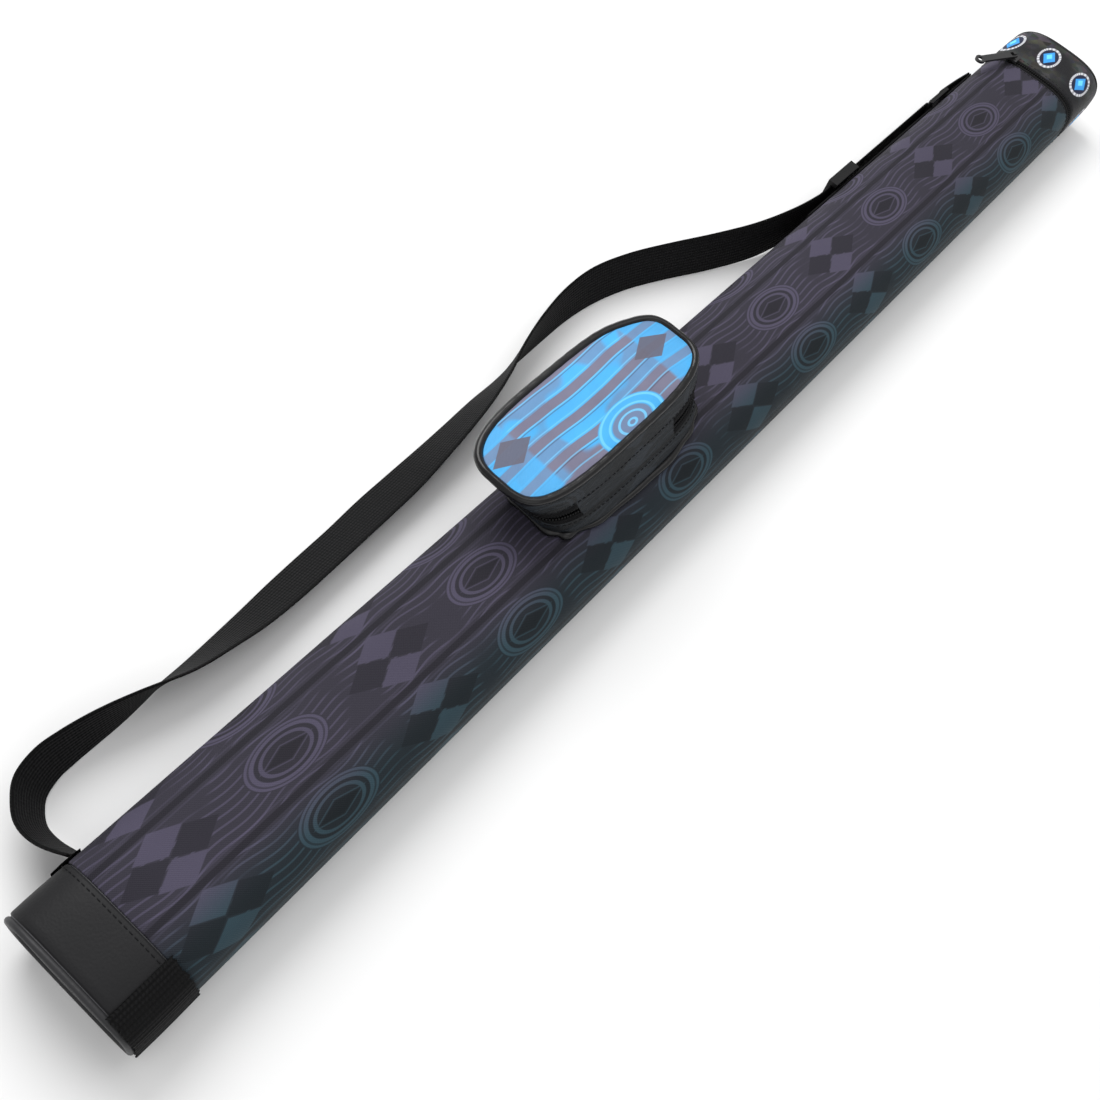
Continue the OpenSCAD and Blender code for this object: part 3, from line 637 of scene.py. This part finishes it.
def welt(name, line, radius, finish, up=(0, 0, 1), steps=10):
    """A round piping along a closed line of points."""
    line = np.array(line, float)
    along = np.roll(line, -1, axis=0) - np.roll(line, 1, axis=0)
    along /= np.linalg.norm(along, axis=1)[:, None]
    side = np.cross(along, up)
    side /= np.linalg.norm(side, axis=1)[:, None]
    lift = np.cross(side, along)
    radius = np.broadcast_to(radius, len(line))
    angles = np.linspace(0, 2 * math.pi, steps, endpoint=False)
    rings = [[p + r * (math.cos(a) * s + math.sin(a) * u) for a in angles]
             for p, s, u, r in zip(line, side, lift, radius)]
    ends = np.append(line, line[:1], axis=0)
    walked = np.concatenate([[0], np.cumsum(np.linalg.norm(np.diff(ends, axis=0), axis=1))])
    return skin(name, rings, walked, angles * float(np.mean(radius)), finish, True)


# ---- Repeated pieces along a line, by Geometry Nodes ----


def row_tree(name, pivot, finish):
    """Sets one small rounded piece after another along an edge line, turned to follow it."""
    tree = bpy.data.node_groups.new(name, "GeometryNodeTree")
    face = tree.interface
    face.new_socket("Line", in_out="INPUT", socket_type="NodeSocketGeometry")
    for label, value in (("Pitch", 0.0015), ("Length", 0.001), ("Width", 0.001), ("Height", 0.0006)):
        socket = face.new_socket(label, in_out="INPUT", socket_type="NodeSocketFloat")
        socket.default_value = value
        socket.subtype = "DISTANCE"
    face.new_socket("Row", in_out="OUTPUT", socket_type="NodeSocketGeometry")
    m = Maker(tree)
    entry = m.add("NodeGroupInput")
    size = m.add("ShaderNodeCombineXYZ", {}, {0: entry.outputs["Length"], 1: entry.outputs["Width"],
                                              2: entry.outputs["Height"]})
    block = m.add("GeometryNodeMeshCube", {}, {"Size": size.outputs[0]})
    rounded = m.add("GeometryNodeSubdivisionSurface", {}, {"Mesh": block.outputs[0], "Level": 1, "Edge Crease": 0.55})
    curve = m.add("GeometryNodeMeshToCurve", {}, {"Mesh": entry.outputs["Line"]})
    spaced = m.add("GeometryNodeCurveToPoints", {"mode": "LENGTH"},
                   {"Curve": curve.outputs[0], "Length": entry.outputs["Pitch"]})
    turned = m.add("FunctionNodeAlignEulerToVector", {"axis": "X", "pivot_axis": pivot},
                   {"Vector": spaced.outputs["Tangent"]})
    pieces = m.add("GeometryNodeInstanceOnPoints", {},
                   {"Points": spaced.outputs[0], "Instance": rounded.outputs[0], "Rotation": turned.outputs[0]})
    solid = m.add("GeometryNodeRealizeInstances", {}, {"Geometry": pieces.outputs[0]})
    dressed = m.add("GeometryNodeSetMaterial", {}, {"Geometry": solid.outputs[0], "Material": finishes[finish]})
    leave = m.add("NodeGroupOutput")
    m.plug(dressed.outputs[0], leave.inputs[0])
    return tree


def row_along(name, line, pivot, pitch, size, finish, closed=False):
    """A row of like pieces along a line, as one plain mesh."""
    count = len(line)
    edges = [(i, i + 1) for i in range(count - 1)] + ([(count - 1, 0)] if closed else [])
    mesh = bpy.data.meshes.new(name + "_line")
    mesh.from_pydata([tuple(p) for p in line], edges, [])
    guide = bpy.data.objects.new(name + "_line", mesh)
    bpy.context.scene.collection.objects.link(guide)
    tree = row_tree(name + "_tree", pivot, finish)
    modifier = guide.modifiers.new("Row", "NODES")
    modifier.node_group = tree
    values = {"Pitch": pitch, "Length": size[0], "Width": size[1], "Height": size[2]}
    for item in tree.interface.items_tree:
        if item.item_type == "SOCKET" and item.in_out == "INPUT" and item.name in values:
            modifier[item.identifier] = values[item.name]
    bpy.context.view_layer.update()
    whole = bpy.data.meshes.new_from_object(guide.evaluated_get(bpy.context.evaluated_depsgraph_get()))
    guide.modifiers.remove(modifier)
    bpy.data.objects.remove(guide)
    bpy.data.node_groups.remove(tree)
    whole.name = name
    obj = bpy.data.objects.new(name, whole)
    bpy.context.scene.collection.objects.link(obj)
    whole.polygons.foreach_set("use_smooth", [True] * len(whole.polygons))
    if not whole.materials:
        whole.materials.append(finishes[finish])
    if len(whole.polygons) < 20:
        raise RuntimeError(name + " came out empty")
    return obj


def node_slot(name):
    """The record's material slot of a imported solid."""
    return next(part["material_slot"] for part in frame["record"]["subparts"] if part["node"] == name)


def place_piece(obj, body, slot, *nodes):
    """Sets a finished piece on its body in place of CAD nodes. The slot is not used."""
    if body:
        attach(obj, body)
    if nodes:
        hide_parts(*nodes)
    return obj


# ---- Pouch ----


def pouch_xy(turn, h, inset=0.0):
    """Point of the pouch's leaning outline at a height over the case's top."""
    share = h / POUCH_H
    soft_corner = 0.085 * math.exp(-((math.degrees(turn) % 360 - 135) / 30) ** 2) * (0.5 + 0.5 * share)
    wide = (FOOT_W + (LID_W - FOOT_W) * share) / 2 - inset
    long = (FOOT_L + (LID_L - FOOT_L) * share) / 2 - inset
    x = wide * bulge(math.cos(turn), POUCH_POWER) * (1 - soft_corner)
    y = long * bulge(math.sin(turn), POUCH_POWER) * (1 - soft_corner)
    return (POUCH_FOOT_X - POUCH_LEAN * share + x, POUCH_Y + POUCH_SHIFT * (1 - share) + y)


POUCH_TURNS, POUCH_PLACES, POUCH_GIRTH = spaced_turns(lambda turn: pouch_xy(turn, 0.014), 150, -math.pi / 2)


def pouch_foot(turn, inset=0.0):
    """Height over the case's top at which the pouch's wall meets the case."""
    h = 0.0
    for _ in range(6):
        h = oval_top(pouch_xy(turn, h, inset)[0]) - CASE_TOP
        h = max(h, -0.0095)
    return h


def creases(turn, h):
    """Small soft folds in the pouch's cloth, deepest near its near corner on the far side from the strap."""
    corner = math.exp(-((math.degrees(turn) % 360 - 318) / 26) ** 2)
    fold = math.sin(9 * turn + h * 420) * math.sin(4 * turn - h * 230 + 1.3)
    sharp = math.sin(h * 1500 + 5 * math.sin(3 * turn)) * corner
    return 0.00035 * fold + 0.0005 * sharp


def pouch_band(name, h0, h1, thick, swell, finish, span=None, stations=9, foot=False):
    """A band of the pouch's wall between two heights, swelling out between its edges."""
    loop = span is None
    turns = POUCH_TURNS if loop else np.radians(np.linspace(span[0], span[1], 120))
    rings = []
    for turn in turns:
        low = pouch_foot(turn) - 0.0004 if foot else h0
        ring = []
        for i in range(stations + 1):
            share = i / stations
            h = low + (h1 - low) * share
            out = swell * math.sin(math.pi * share) + creases(turn, h) * math.sin(math.pi * share)
            ring.append((*pouch_xy(turn, h, -out), CASE_TOP + h))
        ring += [(*pouch_xy(turn, h, thick), CASE_TOP + h) for h in (h1, (h1 + low) / 2, low)]
        rings.append(ring)
    if loop:
        alongs = np.append(POUCH_PLACES, POUCH_GIRTH)
    else:
        alongs = np.linspace(0, POUCH_GIRTH * (span[1] - span[0]) / 360, len(turns))
    return skin(name, rings, alongs, [p[2] for p in rings[0]], finish, loop)


def pouch_line(h, inset, span=None, count=260):
    turns = spaced_turns(lambda turn: pouch_xy(turn, h), count, -math.pi / 2)[0]
    if span:
        low, high = np.radians(span)
        full = spaced_turns(lambda turn: pouch_xy(turn, h), 400, low)[0]
        turns = full[full <= high]
    return [(*pouch_xy(turn, h, inset), CASE_TOP + h) for turn in turns]


# ---- Settings a user would change ----


class CueCaseSettings(bpy.types.PropertyGroup):
    """Sizes and colours of the cue case's fabric pieces"""

    tooth_pitch: bpy.props.FloatProperty(
        name="Tooth pitch", description="Distance between zip teeth", default=0.0015, min=0.0008, unit="LENGTH")
    stitch_pitch: bpy.props.FloatProperty(
        name="Stitch pitch", description="Distance between stitches", default=0.0030, min=0.001, unit="LENGTH")
    welt_radius: bpy.props.FloatProperty(
        name="Lid welt radius", description="Radius of the welt round the pouch's lid", default=0.0022, min=0.001,
        unit="LENGTH")
    lid_crown: bpy.props.FloatProperty(
        name="Lid crown", description="How far the padded lid rises in the middle", default=0.0016, unit="LENGTH")
    wall_swell: bpy.props.FloatProperty(
        name="Wall swell", description="How far the pouch's wall swells out", default=0.0009, unit="LENGTH")
    cloth_colour: bpy.props.FloatVectorProperty(
        name="Cover colour", description="Ground colour of the printed cover", default=(0.029, 0.0265, 0.038),
        subtype="COLOR", min=0, max=1)
    side_colour: bpy.props.FloatVectorProperty(
        name="Cover side colour", description="Ground colour towards the cover's far side",
        default=(0.0125, 0.0185, 0.0235), subtype="COLOR", min=0, max=1)
    lid_colour: bpy.props.FloatVectorProperty(
        name="Lid colour", description="Bright colour of the pouch lid's print", default=(0.060, 0.45, 0.90),
        subtype="COLOR", min=0, max=1)


def wishes():
    return bpy.context.scene.cue_case


def end_pieces(name, way, y, body, welt_finish, cloth, welt_node, panel_node):
    """The welt and the slightly domed panel that close one end of the oval."""
    line = [(x, way * WELT_Y, z) for x, z in (oval(t, WELT_INSET) for t in OVAL_TURNS)]
    piping = welt(name + "_welt", line, WELT_INSET, welt_finish, (0, 1, 0))
    place_piece(piping, body, "vinyl_piping", welt_node)
    rims = [(x, y, z) for x, z in (oval(t, END_INSET) for t in OVAL_TURNS)]
    panel = disc(name + "_end_cloth", rims, (0, y, MID_Z), lambda share, p: 0.0016 + 0.0008 * (1 - share * share),
                 lambda share, p: 0.0, (0, way, 0), cloth)
    place_piece(panel, body, cloth, panel_node)


def stitched_box(name, x, y0, y1):
    """A sewn rectangle with one diagonal, on webbing that stands against the case's side."""
    z0, z1 = STRAP_Z - STRAP_W / 2 + 0.003, STRAP_Z + STRAP_W / 2 - 0.003
    corners = [(y0, z0), (y1, z0), (y1, z1), (y0, z1), (y0, z0), (y1, z1)]
    line = []
    for (ya, za), (yb, zb) in zip(corners, corners[1:]):
        line += [(x, ya + (yb - ya) * s, za + (zb - za) * s) for s in np.linspace(0, 1, 12)[:-1]]
    stitches = row_along(name, line, "X", wishes().stitch_pitch * 0.8, (0.0020, 0.0005, 0.0004), "thread")
    return place_piece(stitches, "case", "webbing")


# ---- Operators ----


class CUECASE_OT_stage(bpy.types.Operator):
    """Adds the camera, the floor and the lights"""

    bl_idname = "cuecase.stage"
    bl_label = "Stage"

    def execute(self, context):
        scene = context.scene
        camera = bpy.data.objects.new("camera", bpy.data.cameras.new("camera"))
        scene.collection.objects.link(camera)
        camera.data.lens = 41.2
        camera.data.sensor_width = 36
        camera.data.clip_start = 0.01
        turned = Matrix(((0.7425, -0.6461, 0.1770), (0.6355, 0.5958, -0.4910), (0.2118, 0.4771, 0.8530)))
        camera.matrix_world = Matrix.Translation((0.1122, -0.4384, 0.5432)) @ turned.to_4x4()
        scene.camera = camera
        floor = new_object("floor", [(-3, -3, 0), (3, -3, 0), (3, 3, 0), (-3, 3, 0)], [(0, 1, 2, 3)], flat=True)
        floor.data.materials.append(floor_finish())
        for name, place, size, power in (("key", (-0.9, 0.25, 1.25), 1.1, 17.0), ("fill", (1.0, -0.9, 1.2), 1.6, 4.0),
                                         ("top", (0.2, 0.5, 1.8), 1.4, 6.0)):
            lamp = bpy.data.lights.new(name, "AREA")
            lamp.shape = "DISK"
            lamp.size = size
            lamp.energy = power
            light = bpy.data.objects.new(name, lamp)
            scene.collection.objects.link(light)
            light.location = place
            light.rotation_euler = (-light.location).to_track_quat("-Z", "Y").to_euler()
        world = bpy.data.worlds.new("studio")
        world.use_nodes = True
        world.node_tree.nodes["Background"].inputs["Color"].default_value = (1, 1, 1, 1)
        world.node_tree.nodes["Background"].inputs["Strength"].default_value = 0.62
        scene.world = world
        scene.view_settings.view_transform = "Standard"
        return {"FINISHED"}


class CUECASE_OT_finishes(bpy.types.Operator):
    """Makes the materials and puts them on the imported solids"""

    bl_idname = "cuecase.finishes"
    bl_label = "Finishes"

    def execute(self, context):
        make_finishes()
        for name, node in frame["nodes"].items():
            node.data.materials.clear()
            node.data.materials.append(finishes[node_slot(name)])
        return {"FINISHED"}


class CUECASE_OT_strap(bpy.types.Operator):
    """Makes the shoulder strap, its doubled end and its sewn tabs"""

    bl_idname = "cuecase.strap"
    bl_label = "Shoulder strap"

    def execute(self, context):
        rows = curve_points(STRAP_ROUTE, 6)
        sines = np.sin(np.radians(rows[:, 3]))
        cosines = np.cos(np.radians(rows[:, 3]))
        height = rows[:, 2] + STRAP_W / 2 * abs(sines) + STRAP_T / 2 * abs(cosines)
        centres = np.column_stack([rows[:, 0], rows[:, 1], height])
        run = np.gradient(centres[:, :2], axis=0)
        run /= np.linalg.norm(run, axis=1)[:, None]
        across = np.column_stack([cosines * run[:, 1], -cosines * run[:, 0], -sines])
        strap, length = ribbon("shoulder_strap", centres, across)
        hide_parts("strap_webbing")

        legs = [(RING_X - FOLD_R, y) for y in np.linspace(0.2962, RING_FREE_Y, 4)[:-1]]
        legs += [(RING_X - FOLD_R * math.cos(a), RING_FREE_Y + FOLD_R * math.sin(a))
                 for a in np.linspace(0, math.pi, 15)]
        legs += [(RING_X + FOLD_R, y) for y in np.linspace(RING_FREE_Y, TAIL_Y, 40)[1:]]
        doubled, _ = ribbon("strap_doubled_end", [(x, y, STRAP_Z) for x, y in legs], [(0, 0, 1)] * len(legs))
        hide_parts("strap_fold", "strap_return_ply")
        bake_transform(strap)
        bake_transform(doubled)

        outer = -HALF_W - 0.0002 - STRAP_T * 1.5
        inner = -HALF_W - 0.0002 - STRAP_T * 0.5
        loop = [(outer - 0.0004 * math.sin(s * math.pi) + (RING_X - FOLD_R - outer) * (1 - s), y)
                for s, y in zip(np.linspace(1, 0, 16), np.linspace(RING_TAB_Y + 0.034, RING_TAB_Y, 16))]
        loop += [(RING_X - FOLD_R * math.cos(a), RING_TAB_Y - FOLD_R * math.sin(a))
                 for a in np.linspace(0, math.pi, 15)[1:]]
        loop += [(inner + (RING_X + FOLD_R - inner) * (1 - s), y)
                 for s, y in zip(np.linspace(0, 1, 16), np.linspace(RING_TAB_Y, RING_TAB_Y + 0.034, 16))][1:]
        tab, _ = ribbon("ring_sewn_tab", [(x, y, STRAP_Z) for x, y in loop], [(0, 0, 1)] * len(loop))
        place_piece(tab, "case", "webbing", "ring_tab")
        stitched_box("ring_tab_stitches", outer - STRAP_T / 2, RING_TAB_Y + 0.012, RING_TAB_Y + 0.031)
        low = [turn for turn in OVAL_TURNS if oval(turn)[0] < -0.022
               and abs(oval(turn)[1] - STRAP_Z) < STRAP_W / 2]
        patch = oval_piece("strap_start_patch", band_profile(-0.397, -0.383, 0.0, 0.0003, 0.0004), "webbing", low,
                           lambda turn, y, inset: oval_point(turn, y, inset - 0.0013))
        place_piece(patch, "case", "webbing", "strap_lower_tab")
        return {"FINISHED"}


class CUECASE_OT_cover(bpy.types.Operator):
    """Makes the printed cover, the collar at the base end and the base's end panel and welt"""

    bl_idname = "cuecase.cover"
    bl_label = "Cover and base"

    def execute(self, context):
        place_piece(oval_piece("fabric_cover", band_profile(COLLAR_Y + SEWN_GAP, BODY_TAPE_Y, COVER_T, stations=40),
                               "printed_fabric"), "case", "printed_fabric", "printed_cover")
        collar = band_profile(COLLAR_FROM_Y, COLLAR_Y - SEWN_GAP, COVER_T, 0.0002, 0.0009, 8)
        place_piece(oval_piece("leather_collar", collar, "faux_leather"), "case", "faux_leather", "base_collar")
        # The base end's welt takes end_welt, whose grey colour is painted sheen.
        end_pieces("base", -1, FOOT_Y, "case", "end_welt", "faux_leather", "base_piping", "base_end_panel")
        side = [turn for turn in OVAL_TURNS if oval(turn)[0] > 0.021 and oval(turn)[1] > 0.003]

        def ragged(turn, y, inset):
            out = 0.0006 * math.sin(turn * 61) + 0.0004 * math.sin(turn * 143)
            share = (y + 0.403) / 0.015
            rib = 0.00018 * math.sin(np.interp(turn, OVAL_TURNS, OVAL_PLACES) * 2 * math.pi / 0.0034)
            return oval_point(turn, y + out * share ** 3, inset - 0.0015 - rib)

        patch = oval_piece("side_patch", band_profile(-0.418, -0.388, 0.0006, 0.0002, 0.0004, 8), "webbing", side,
                           ragged)
        place_piece(patch, "case", "webbing", "base_side_tab")
        return {"FINISHED"}


class CUECASE_OT_cap(bpy.types.Operator):
    """Makes the cap's cover, top panel and welt, the body zip and the fabric hinge"""

    bl_idname = "cuecase.cap"
    bl_label = "Cap and its zip"

    def execute(self, context):
        place_piece(oval_piece("cap_cloth", band_profile(CAP_CLOTH_Y, CAP_TOP_Y, COVER_T, 0.0004, stations=10),
                               "cap_fabric"), "cap", "cap_fabric", "cap_cover_band")
        slot = node_slot("cap_top_panel")
        end_pieces("cap", 1, TOP_Y, "cap", "vinyl_piping", slot, "cap_piping", "cap_top_panel")
        half = math.asin((HINGE_HALF / HALF_H) ** 1.5)
        open_turns = OVAL_TURNS[abs(OVAL_TURNS - math.pi) > half]
        after = [t for t in open_turns if t > math.pi]
        before = [t for t in open_turns if t < math.pi]
        run = [t - 2 * math.pi for t in after] + before
        for name, body, y, node in (("body_tape", "case", BODY_TAPE_Y, "body_zip_tape"),
                                    ("cap_tape", "cap", CAP_TAPE_Y, "cap_zip_tape")):
            profile = band_profile(y, y + TAPE_WIDE, 0.0008, 0.0, 0.0003, 2)
            rings = [[oval_point(t, y, inset + 0.0001) for y, inset in profile] for t in run]
            spans = np.linspace(0, OVAL_GIRTH, len(run))
            tape = skin(name, rings, spans, [y for y, _ in profile], "zip_tape")
            place_piece(tape, body, "zip_tape", node)
        for name, body, y, node in (("body_teeth", "case", BODY_TEETH_Y, "body_zip_teeth"),
                                    ("cap_teeth", "cap", CAP_TEETH_Y, "cap_zip_teeth")):
            line = [oval_point(t, y, 0.0006) for t in run]
            teeth = row_along(name, line, "Y", wishes().tooth_pitch, (0.0009, 0.0014, 0.0009), "zip_teeth")
            place_piece(teeth, body, "zip_teeth", node)
        turns = np.linspace(math.pi - half, math.pi + half, 24)
        hinge = oval_piece("cap_hinge_cloth", band_profile(0.3694, 0.3766, 0.0012, 0.0003, 0.0004, 16),
                           "faux_leather", turns)
        place_piece(hinge, None, "faux_leather", "cap_hinge_strip")
        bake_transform(hinge)
        return {"FINISHED"}


class CUECASE_OT_pouch(bpy.types.Operator):
    """Makes the pouch's walls, welts, zip, gusset and padded lid"""

    bl_idname = "cuecase.pouch"
    bl_label = "Pouch"

    def execute(self, context):
        swell = wishes().wall_swell
        place_piece(pouch_band("pouch_low_wall", 0, 0.0095, 0.0014, swell, "gusset_fabric", foot=True), "case",
                    "gusset_fabric", "pouch_lower_wall")
        place_piece(pouch_band("pouch_high_wall", 0.0185, 0.0268, 0.0014, swell * 0.6, "gusset_fabric"), "pouch_lid",
                    "gusset_fabric", "pouch_upper_wall")
        span = (ZIP_FROM, ZIP_TO)
        place_piece(pouch_band("pouch_low_tape", 0.0094, 0.0122, 0.0011, 0.0, "zip_tape", span, 3), "case",
                    "zip_tape", "pouch_lower_tape")
        place_piece(pouch_band("pouch_high_tape", 0.0158, 0.0186, 0.0011, 0.0, "zip_tape", span, 3), "pouch_lid",
                    "zip_tape", "pouch_upper_tape")
        for name, body, h, node in (("pouch_low_teeth", "case", 0.01285, "pouch_lower_teeth"),
                                    ("pouch_high_teeth", "pouch_lid", 0.01515, "pouch_upper_teeth")):
            teeth = row_along(name, pouch_line(h, 0.0006, span), "Z", wishes().tooth_pitch,
                              (0.0009, 0.0010, 0.0015), "zip_teeth")
            place_piece(teeth, body, "zip_teeth", node)
        gusset = pouch_band("pouch_hinge_gusset", 0.0094, 0.0186, 0.0011, 0.0, "gusset_fabric",
                            (ZIP_TO - 360 - 0.4, ZIP_FROM + 0.4), 16)
        place_piece(gusset, None, "gusset_fabric", "pouch_hinge_strip", "pouch_hinge_flap")
        hinge_x = pouch_xy(0, 0.014)[0]
        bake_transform(gusset)

        line, sizes = [], []
        for turn in spaced_turns(lambda t: pouch_xy(t, 0), 240, -math.pi / 2)[0]:
            h = pouch_foot(turn) + 0.0017
            fold = creases(turn, h) * 2
            line.append((*pouch_xy(turn, h, -0.0006 - fold), CASE_TOP + h))
            sizes.append(0.0019 + 0.5 * fold)
        place_piece(welt("pouch_foot_welt", line, sizes, "vinyl_piping"), "case", "vinyl_piping",
                    "pouch_base_piping")
        line = pouch_line(0.0283, 0.0012)
        sizes = [wishes().welt_radius * (1 + 0.02 * math.sin(i * 0.9)) for i in range(len(line))]
        place_piece(welt("pouch_lid_welt", line, sizes, "vinyl_piping"), "pouch_lid", "vinyl_piping",
                    "pouch_lid_piping")
        crown = wishes().lid_crown
        rims = [(*pouch_xy(turn, 0.0266, 0.0021), CASE_TOP + 0.0266) for turn in POUCH_TURNS]
        middle = (POUCH_FOOT_X - POUCH_LEAN * 0.0266 / POUCH_H, POUCH_Y, CASE_TOP + 0.0266)

        def padding(share, p):
            folds = 0.00018 * math.sin(p[1] * 95 + p[0] * 40) * math.sin(p[0] * 130 - p[1] * 22)
            return 0.0026 + crown * (1 - share ** 4) + folds * (1 - share ** 6)

        lid = disc("pouch_lid_pad", rims, middle, padding, lambda s, p: 0.0, (0, 0, 1), "pouch_print", 26)
        lid.data.materials.append(finishes["lining_panel"])
        for face in lid.data.polygons:
            face.material_index = 1 if face.normal.z < -0.5 else 0
        place_piece(lid, "pouch_lid", "pouch_print", "pouch_lid_panel")
        rims = [(*pouch_xy(turn, 0.0, 0.0015), CASE_TOP) for turn in POUCH_TURNS]
        slot = node_slot("pouch_back_panel")
        back = disc("pouch_back_cloth", rims, (POUCH_FOOT_X, POUCH_Y, CASE_TOP),
                    lambda s, p: oval_top(p[0]) - CASE_TOP + 0.0009, lambda s, p: oval_top(p[0]) - CASE_TOP + 0.0001,
                    (0, 0, 1), slot, 26)
        place_piece(back, "case", slot, "pouch_back_panel")
        return {"FINISHED"}


class CUECASE_OT_stitches(bpy.types.Operator):
    """Sews the rows of stitches along the seams"""

    bl_idname = "cuecase.stitches"
    bl_label = "Stitches"

    def execute(self, context):
        size = (0.0020, 0.0004, 0.0004)
        pitch = wishes().stitch_pitch
        for name, body, y in (("collar_stitches", "case", -0.3925), ("cover_stitches", "case", 0.3680),
                              ("cap_stitches", "cap", 0.3782)):
            outset = 0.0003 if y < 0 else 0.00005
            ring = [oval_point(t, y, -outset) for t in OVAL_TURNS]
            row = row_along(name, ring, "Y", pitch, size, "thread", True)
            place_piece(row, body, "webbing")
        swell = wishes().wall_swell
        for name, body, h, out in (("pouch_low_stitches", "case", 0.0085, swell * 0.5),
                                   ("pouch_high_stitches", "pouch_lid", 0.0196, swell * 0.4)):
            row = row_along(name, pouch_line(h, -out), "Z", pitch, (0.0020, 0.0005, 0.0004), "thread", True)
            place_piece(row, body, "webbing")
        return {"FINISHED"}


class CUECASE_PT_panel(bpy.types.Panel):
    """Sizes and colours of the cue case, and the steps that make it"""

    bl_label = "Cue Case"
    bl_idname = "CUECASE_PT_panel"
    bl_space_type = "VIEW_3D"
    bl_region_type = "UI"
    bl_category = "Cue Case"

    def draw(self, context):
        for name in CueCaseSettings.__annotations__:
            self.layout.prop(context.scene.cue_case, name)
        for step in steps:
            self.layout.operator(step.bl_idname)


steps = (
    CUECASE_OT_stage,
    CUECASE_OT_finishes,
    CUECASE_OT_strap,
    CUECASE_OT_cover,
    CUECASE_OT_cap,
    CUECASE_OT_pouch,
    CUECASE_OT_stitches,
)


def register():
    for item in (CueCaseSettings, *steps, CUECASE_PT_panel):
        bpy.utils.register_class(item)
    bpy.types.Scene.cue_case = bpy.props.PointerProperty(type=CueCaseSettings)


def unregister():
    del bpy.types.Scene.cue_case
    for item in reversed((CueCaseSettings, *steps, CUECASE_PT_panel)):
        bpy.utils.unregister_class(item)


def main():
    register()
    bpy.ops.cuecase.stage()
    bpy.ops.cuecase.finishes()
    bpy.ops.cuecase.strap()
    bpy.ops.cuecase.cover()
    bpy.ops.cuecase.cap()
    bpy.ops.cuecase.pouch()
    bpy.ops.cuecase.stitches()


if __name__ == "__main__":
    main()
